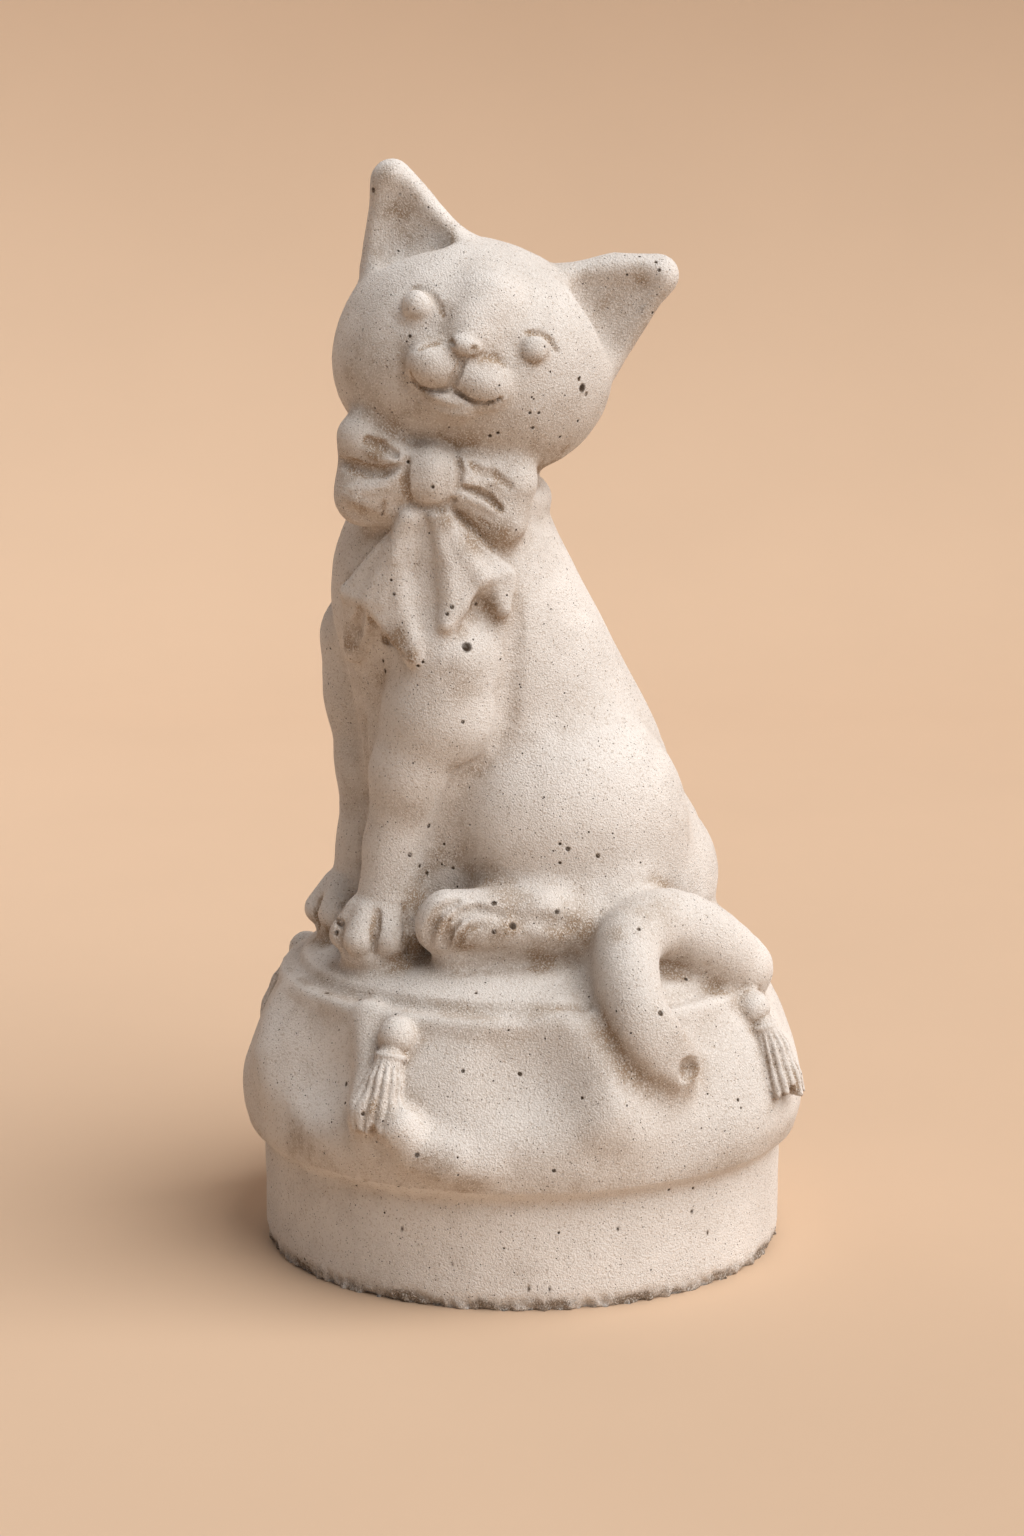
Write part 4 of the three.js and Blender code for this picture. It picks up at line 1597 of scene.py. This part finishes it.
@dataclass
class Statue:
    """The whole statue: one casting, drawn as one mesh.

    Edges are in millimetres. Near a pit they are a share of its radius. A pit's radius is a
    share of its size in the photograph, and how far its ball is sunk in and how far its rim,
    painted dark as shade, reaches are shares of that radius. A hollow, painted as shade and dirt,
    is felt for at several distances from the surface, each with its weight. The mesh is cut level
    just above the ground.
    """

    plinth: Plinth = field(default_factory=Plinth)
    cat: Cat = field(default_factory=Cat)
    finish: Concrete = field(default_factory=Concrete)
    viewpoint: Viewpoint = field(default_factory=Viewpoint)
    nets: Nets = field(default_factory=Nets)
    kept_triangles: int = 48000
    longest_edge: float = 7.0
    foot_edge: float = 1.85
    refine_passes: int = 5
    pit_edge: float = 0.75
    pit_share: float = 0.66
    pit_sink: float = 0.35
    pit_halo: float = 1.35
    dirt_and_shade_halo: float = 1.3
    hollow_reaches: tuple[tuple[float, float], ...] = ((2.0, 0.35), (4.5, 0.35), (9.0, 0.3))
    crest_reach: float = 3.0
    fine_groove: float = 2.0
    soiling_and_shading: float = 0.75
    skin_ripples: tuple[Triple, ...] = ((0.30, 16.0, 0.0), (0.14, 5.0, 90.0))
    ground: float = 0.01
    pixels_to_a_millimetre: float = 2.7
    cushion: Cushion = field(init=False)
    tail: Tail = field(init=False)
    fine_grooves: list[Form] = field(init=False, default_factory=list)

    def __post_init__(self) -> None:
        self.cushion = Cushion(self.plinth)
        self.tail = Tail(self.cushion, self.cat.scale)

    def rough_casting(self) -> Casting:
        """The casting with its main forms."""
        casting = Casting()
        casting.join(self.plinth.form(), 1)
        self.cushion.add_to(casting)
        casting.join(self.cat.form(self.cushion.seat), 4)
        self.tail.add_to(casting)
        for i in range(self.cushion.corner_count):
            turn = self.cushion.corner_turn + i * 360 / self.cushion.corner_count
            Tassel(self.cushion, turn).add_to(casting)
        return casting

    def carved_casting(self) -> Casting:
        """The casting with its finer marks drawn on."""
        casting = self.rough_casting()
        for strokes in (CUSHION, LEGS, BOW, FACE):
            self.draw_on(casting, strokes)
        return casting

    def draw_on(self, casting: Casting, strokes: Sequence[Stroke]) -> None:
        """Draws marks on the casting, all from the surface that is there before them."""
        places = self.viewpoint.trace(casting, [spot for stroke in strokes for spot in stroke.path])
        normals = casting.normals(places, MARK_STEP)
        start = 0
        for stroke in strokes:
            end = start + len(stroke.path)
            form = stroke.form(places[start:end], normals[start:end])
            casting.add(form, stroke.fillet, stroke.work)
            if stroke.work is Work.CARVE and stroke.radius < self.fine_groove:
                self.fine_grooves.append(form)
            start = end

    def pitted(self, casting: Casting) -> list[Ball]:
        """Carves the air pits that the photograph shows, and says where they are."""
        places = self.viewpoint.trace(casting, [(x, y) for x, y, _ in PITS])
        normals = casting.normals(places, MARK_STEP)
        pits = []
        for place, normal, (_, _, size) in zip(places, normals, PITS):
            radius = self.pit_share * size / self.pixels_to_a_millimetre
            casting.carve(Ball(place - self.pit_sink * radius * normal, radius), 0.25)
            pits.append(Ball(place, radius))
        return pits

    def build(self) -> bpy.types.Object:
        """Builds the mesh, thins it out, marks hollows and crests, and dresses it.

        Returns:
            The finished object.
        """
        casting = self.carved_casting()
        points, faces = self.nets.draw(casting)
        log.info("surface drawn: %d points, %d faces", len(points), len(faces))
        points = settle(casting, points, 2)
        statue = self.to_object(points, faces)
        self.thin(statue)
        pits = self.pitted(casting)
        self.refine(statue, pits)
        points = settle(casting, self.points_of(statue), 2)
        self.mark(statue, casting, points, pits)
        points = self.weathered(casting, points)
        points[:, 2] = np.maximum(points[:, 2], 0)
        statue.data.vertices.foreach_set("co", (points * METRE).ravel())
        self.level(statue)
        statue.data.materials.append(self.finish.material())
        return statue

    def to_object(self, points: Points, faces: np.ndarray) -> bpy.types.Object:
        """Makes an object from points in millimetres and faces."""
        mesh = bpy.data.meshes.new("statue")
        mesh.from_pydata(points * METRE, [], faces)
        return add_object("statue", mesh)

    def points_of(self, statue: bpy.types.Object) -> Points:
        """The object's points in millimetres."""
        flat = np.empty(len(statue.data.vertices) * 3, np.float32)
        statue.data.vertices.foreach_get("co", flat)
        return flat.reshape(-1, 3).astype(float) / METRE

    def thin(self, statue: bpy.types.Object) -> None:
        """Keeps fewer triangles, most of them where the surface bends most."""
        triangles = 2 * len(statue.data.polygons)
        modifier = statue.modifiers.new("thin", "DECIMATE")
        modifier.ratio = min(1.0, self.kept_triangles / triangles)
        modifier.use_collapse_triangulate = True
        bpy.context.view_layer.update()
        graph = bpy.context.evaluated_depsgraph_get()
        mesh = bpy.data.meshes.new_from_object(statue.evaluated_get(graph))
        statue.modifiers.clear()
        old, statue.data = statue.data, mesh
        bpy.data.meshes.remove(old)
        report("thinned", mesh)

    def fine_places(self) -> list[tuple[Points, float, float]]:
        """Places with fine work: centre, radius, and how long their edges may be."""
        head, bow = self.cat.head, self.cat.bow
        seat = np.array([0, 0, self.cushion.seat])
        scale = self.cat.scale
        places = [
            (seat + head.place(-0.3, 1, 15) * scale, 34.0, 1.0),
            (seat + bow.place(-11, 60, 16) * scale, 33.0, 1.3),
            (seat + bow.place(-12, 48, 16) * scale, 33.0, 1.4),
        ]
        for side in (-1, 1):
            places.append((seat + np.array([side * 7.3, -23.5, 2.5]) * scale, 18.0, 1.5))
            places.append((seat + np.array([side * 20, -11, 3]) * scale, 20.0, 1.6))
        for i in range(self.cushion.corner_count):
            turn = self.cushion.corner_turn + i * 360 / self.cushion.corner_count
            fineness = 1.0 if abs(turn - self.viewpoint.turn) < 80 else 1.6
            places.append((self.cushion.place(turn, 0.96, -0.53), 19.0, fineness))
        return places

    def refine(self, statue: bpy.types.Object, pits: Sequence[Ball]) -> None:
        """Cuts up the long edges where the work is fine, round each pit and along the foot."""
        bm = bmesh.new()
        bm.from_mesh(statue.data)
        foot = self.plinth.crumble_height + 2
        centres = np.array([pit.centre for pit in pits]) * METRE
        radii = np.array([pit.radius for pit in pits]) * METRE
        for _ in range(self.refine_passes):
            ends = np.array([[*edge.verts[0].co, *edge.verts[1].co] for edge in bm.edges])
            middle, length = (ends[:, :3] + ends[:, 3:]) / 2, lengths(ends[:, :3] - ends[:, 3:])
            low = middle[:, 2] < foot * METRE
            wanted = np.where(low, self.foot_edge, self.longest_edge) * METRE
            for centre, radius, most in self.fine_places():
                near = lengths(middle / METRE - centre) < radius
                wanted[near] = np.minimum(wanted[near], most * METRE)
            for centre, radius in zip(centres, radii):
                near = lengths(middle - centre) < self.pit_halo * radius + 0.55 * length
                wanted[near] = np.minimum(wanted[near], self.pit_edge * radius)
            bm.edges.ensure_lookup_table()
            long_edges = [bm.edges[i] for i in np.nonzero(length > wanted)[0]]
            bmesh.ops.subdivide_edges(bm, edges=long_edges, cuts=1, use_grid_fill=True)
            bmesh.ops.triangulate(bm, faces=[face for face in bm.faces if len(face.verts) > 3])
        bm.to_mesh(statue.data)
        bm.free()
        report("refined", statue.data)

    def hollowness(self, casting: Casting, points: Points, normals: Points) -> Values:
        """How far the surface is shut in by what stands round it, at each point; it is painted
        darker as shade and dirt.
        """
        hollow = np.zeros(len(points))
        for reach, share in self.hollow_reaches:
            gap = casting.distance(points + normals * reach)
            hollow += share * np.clip(1 - gap / reach, 0, 1)
        return hollow

    def dirt_and_painted_shade(self, casting: Casting, points: Points, normals: Points) -> Values:
        """Dirt and painted shade at each point: where the photograph shows it, in fine grooves, and
        as painted shade underneath.

        Args:
            casting: the casting with all its marks and pits.
            points: the points of its surface.
            normals: the surface's directions there.

        Returns:
            A value from 0 to 1 for each point.
        """
        dirt_and_painted_shade = np.zeros(len(points))
        places = self.viewpoint.trace(casting, [(x, y) for x, y, _, _ in DIRT_AND_PAINTED_SHADE])
        for place, (_, _, size, strength) in zip(places, DIRT_AND_PAINTED_SHADE):
            reach = self.dirt_and_shade_halo * size / self.pixels_to_a_millimetre
            share = 1 - lengths(points - place) / reach
            dirt_and_painted_shade = np.maximum(dirt_and_painted_shade, strength * np.clip(1.6 * share, 0, 1))
        # fine grooves darkened, partly dirt and partly painted shade
        for form in self.fine_grooves:
            share = 0.9 - form.distance(points) / 0.8
            dirt_and_painted_shade = np.maximum(dirt_and_painted_shade, self.soiling_and_shading * np.clip(share, 0, 1))
        # painted shade: surfaces that face down are darkened
        under = np.clip(-0.1 - normals[:, 2], 0, 0.75) * (points[:, 2] > self.plinth.height)
        return np.maximum(dirt_and_painted_shade, self.soiling_and_shading * under)

    def mark(
        self, statue: bpy.types.Object, casting: Casting, points: Points, pits: Sequence[Ball],
    ) -> None:
        """Writes how hollow, how exposed, how deep in a pit and how dirty or painted with shade
        each point is.

        Args:
            statue: the object whose mesh carries the marks.
            casting: the casting with all its marks and pits.
            points: the object's points in millimetres.
            pits: where the air pits are, and their radii.
        """
        normals = casting.normals(points)
        inward = casting.distance(points - normals * self.crest_reach)
        depth = np.zeros(len(points))
        for pit in pits:
            share = 1 - lengths(points - np.asarray(pit.centre)) / (self.pit_halo * pit.radius)
            depth = np.maximum(depth, share)
        marks = {
            # hollow: painted shade and dirt where the surface is shut in
            "hollow": 1.6 * self.hollowness(casting, points, normals),
            "crest": 1 + inward / self.crest_reach,
            # pit: painted shade in and round the carved air pits
            "pit": 4 * depth,
            "dirt_and_painted_shade": self.dirt_and_painted_shade(casting, points, normals),
        }
        for name, values in marks.items():
            attribute = statue.data.attributes.new(name, "FLOAT", "POINT")
            attribute.data.foreach_set("value", np.clip(values, 0, 1).astype(np.float32))

    def weathered(self, casting: Casting, points: Points) -> Points:
        """Moves the points a little, for a skin that isn't quite even and a crumbled edge."""
        normals = casting.normals(points)
        move = rippled(points, self.skin_ripples)
        near_foot = points[:, 2] < self.plinth.crumble_height
        move[near_foot] -= self.plinth.crumbled(points[near_foot])
        return points + normals * move[:, None]

    def level(self, statue: bpy.types.Object) -> None:
        """Cuts the footing off at the ground, closes the underside and smooths the shading."""
        bm = bmesh.new()
        bm.from_mesh(statue.data)
        everything = [*bm.verts, *bm.edges, *bm.faces]
        plane = Vector((0, 0, self.ground * METRE))
        bmesh.ops.bisect_plane(
            bm, geom=everything, plane_co=plane, plane_no=Vector((0, 0, -1)), clear_outer=True,
        )
        rim = [edge for edge in bm.edges if edge.is_boundary]
        bmesh.ops.holes_fill(bm, edges=rim, sides=0)
        bmesh.ops.triangulate(bm, faces=[face for face in bm.faces if len(face.verts) > 4])
        bmesh.ops.recalc_face_normals(bm, faces=bm.faces)
        for face in bm.faces:
            face.smooth = True
        bm.to_mesh(statue.data)
        bm.free()
        report("levelled", statue.data)


# Studio


@dataclass
class Studio:
    """Floor, light and camera. Lengths in metres, each lamp's place by right, out and up."""

    viewpoint: Viewpoint = field(default_factory=Viewpoint)
    floor_colour: Colour = (0.62, 0.45, 0.315)
    floor_mottle: float = 0.94
    ahead: float = 3.0
    behind: float = 1.1
    sweep: float = 0.6
    sweep_pieces: int = 24
    wall: float = 3.2
    half_width: float = 4.0
    sky_colour: Colour = (0.97, 0.96, 0.98)
    sky_strength: float = 0.145
    sun_toward: Triple = (0.86, 0.46, 1.15)
    sun_strength: float = 4.0
    sun_width: float = 68.0
    sun_colour: Colour = (1.0, 0.965, 0.93)
    back_lamp_place: Triple = (-1.0, -1.2, 1.1)
    back_lamp_power: float = 4.0
    back_lamp_size: float = 1.0
    back_lamp_colour: Colour = (0.95, 0.97, 1.0)
    aim_height: float = 0.2

    def add_floor(self) -> bpy.types.Object:
        """A plain pale floor that curves up behind the statue."""
        right, up, out = turned_axes(self.viewpoint.turn)
        angles = np.linspace(0, math.pi / 2, self.sweep_pieces + 1)
        back = -self.behind - self.sweep * np.sin(angles)
        rise = self.sweep * (1 - np.cos(angles))
        flat = [(self.ahead, 0.0), (0.01 - self.behind, 0.0)]
        profile = [*flat, *zip(back, rise), (back[-1], self.wall)]
        mesh = bpy.data.meshes.new("floor")
        bm = bmesh.new()
        rows = []
        for ahead, above in profile:
            middle = out * ahead + up * above
            rows.append([bm.verts.new(middle + side * self.half_width * right) for side in (-1, 1)])
        for low, high in zip(rows, rows[1:]):
            bm.faces.new((low[0], low[1], high[1], high[0])).smooth = True
        bm.to_mesh(mesh)
        bm.free()
        material, place = empty_material("pale_floor")
        cloud = noise_at(place, 6.0, 4.0, 0.5)
        darker = tuple(self.floor_mottle * value for value in self.floor_colour)
        add_shader({"Base Color": mixed(cloud, self.floor_colour, darker), "Roughness": 0.8})
        mesh.materials.append(material)
        floor = add_object("floor", mesh)
        return floor

    def around(self, place: Triple) -> Vector:
        """A place or direction by right, out and up as seen from the viewpoint."""
        right, up, out = turned_axes(self.viewpoint.turn)
        return Vector(right * place[0] + out * place[1] + up * place[2])

    def hang(self, lamp: bpy.types.Light, place: Vector, toward: Vector) -> None:
        """Hangs a lamp in the studio.

        Args:
            lamp: the lamp.
            place: where it hangs.
            toward: the direction in which it shines.
        """
        holder = add_object(lamp.name, lamp)
        holder.location = place
        holder.rotation_euler = toward.to_track_quat("-Z", "Y").to_euler()

    def add_light(self) -> None:
        """Soft light from the right and above, and a weak one from behind on the left."""
        sun = bpy.data.lights.new("main_lamp", "SUN")
        sun.energy, sun.angle = self.sun_strength, math.radians(self.sun_width)
        sun.color = self.sun_colour
        self.hang(sun, Vector(), -self.around(self.sun_toward))
        lamp = bpy.data.lights.new("back_lamp", "AREA")
        lamp.energy, lamp.size = self.back_lamp_power, self.back_lamp_size
        lamp.color = self.back_lamp_colour
        place = self.around(self.back_lamp_place)
        self.hang(lamp, place, Vector((0, 0, self.aim_height)) - place)
        world = bpy.data.worlds.new("studio")
        world.use_nodes = True
        background = world.node_tree.nodes["Background"]
        background.inputs["Color"].default_value = (*self.sky_colour, 1.0)
        background.inputs["Strength"].default_value = self.sky_strength
        bpy.context.scene.world = world

    def add_camera(self) -> None:
        """The camera at the photograph's viewpoint."""
        data = bpy.data.cameras.new("camera")
        data.lens = self.viewpoint.lens
        data.sensor_width = self.viewpoint.film
        data.clip_end = 500
        camera = add_object("camera", data)
        turn = Matrix(self.viewpoint.axes().tolist()).transposed().to_4x4()
        turn.translation = Vector(self.viewpoint.position() * METRE)
        camera.matrix_world = turn
        bpy.context.scene.camera = camera

    def build(self) -> None:
        """Sets up the whole studio."""
        self.add_floor()
        self.add_light()
        self.add_camera()
        bpy.context.scene.view_settings.view_transform = "Standard"


def main() -> None:
    """Builds the statue and the studio, hangs the statue on its body and hides the imported part.
    """
    logging.basicConfig(level=logging.INFO, format="%(name)s: %(message)s")
    statue = Statue().build()
    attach(statue, BODY)
    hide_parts(NODE)
    log.info("statue: %d points", len(statue.data.vertices))
    Studio().build()
    log.info("studio built")
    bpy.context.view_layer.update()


if __name__ == "__main__":
    main()
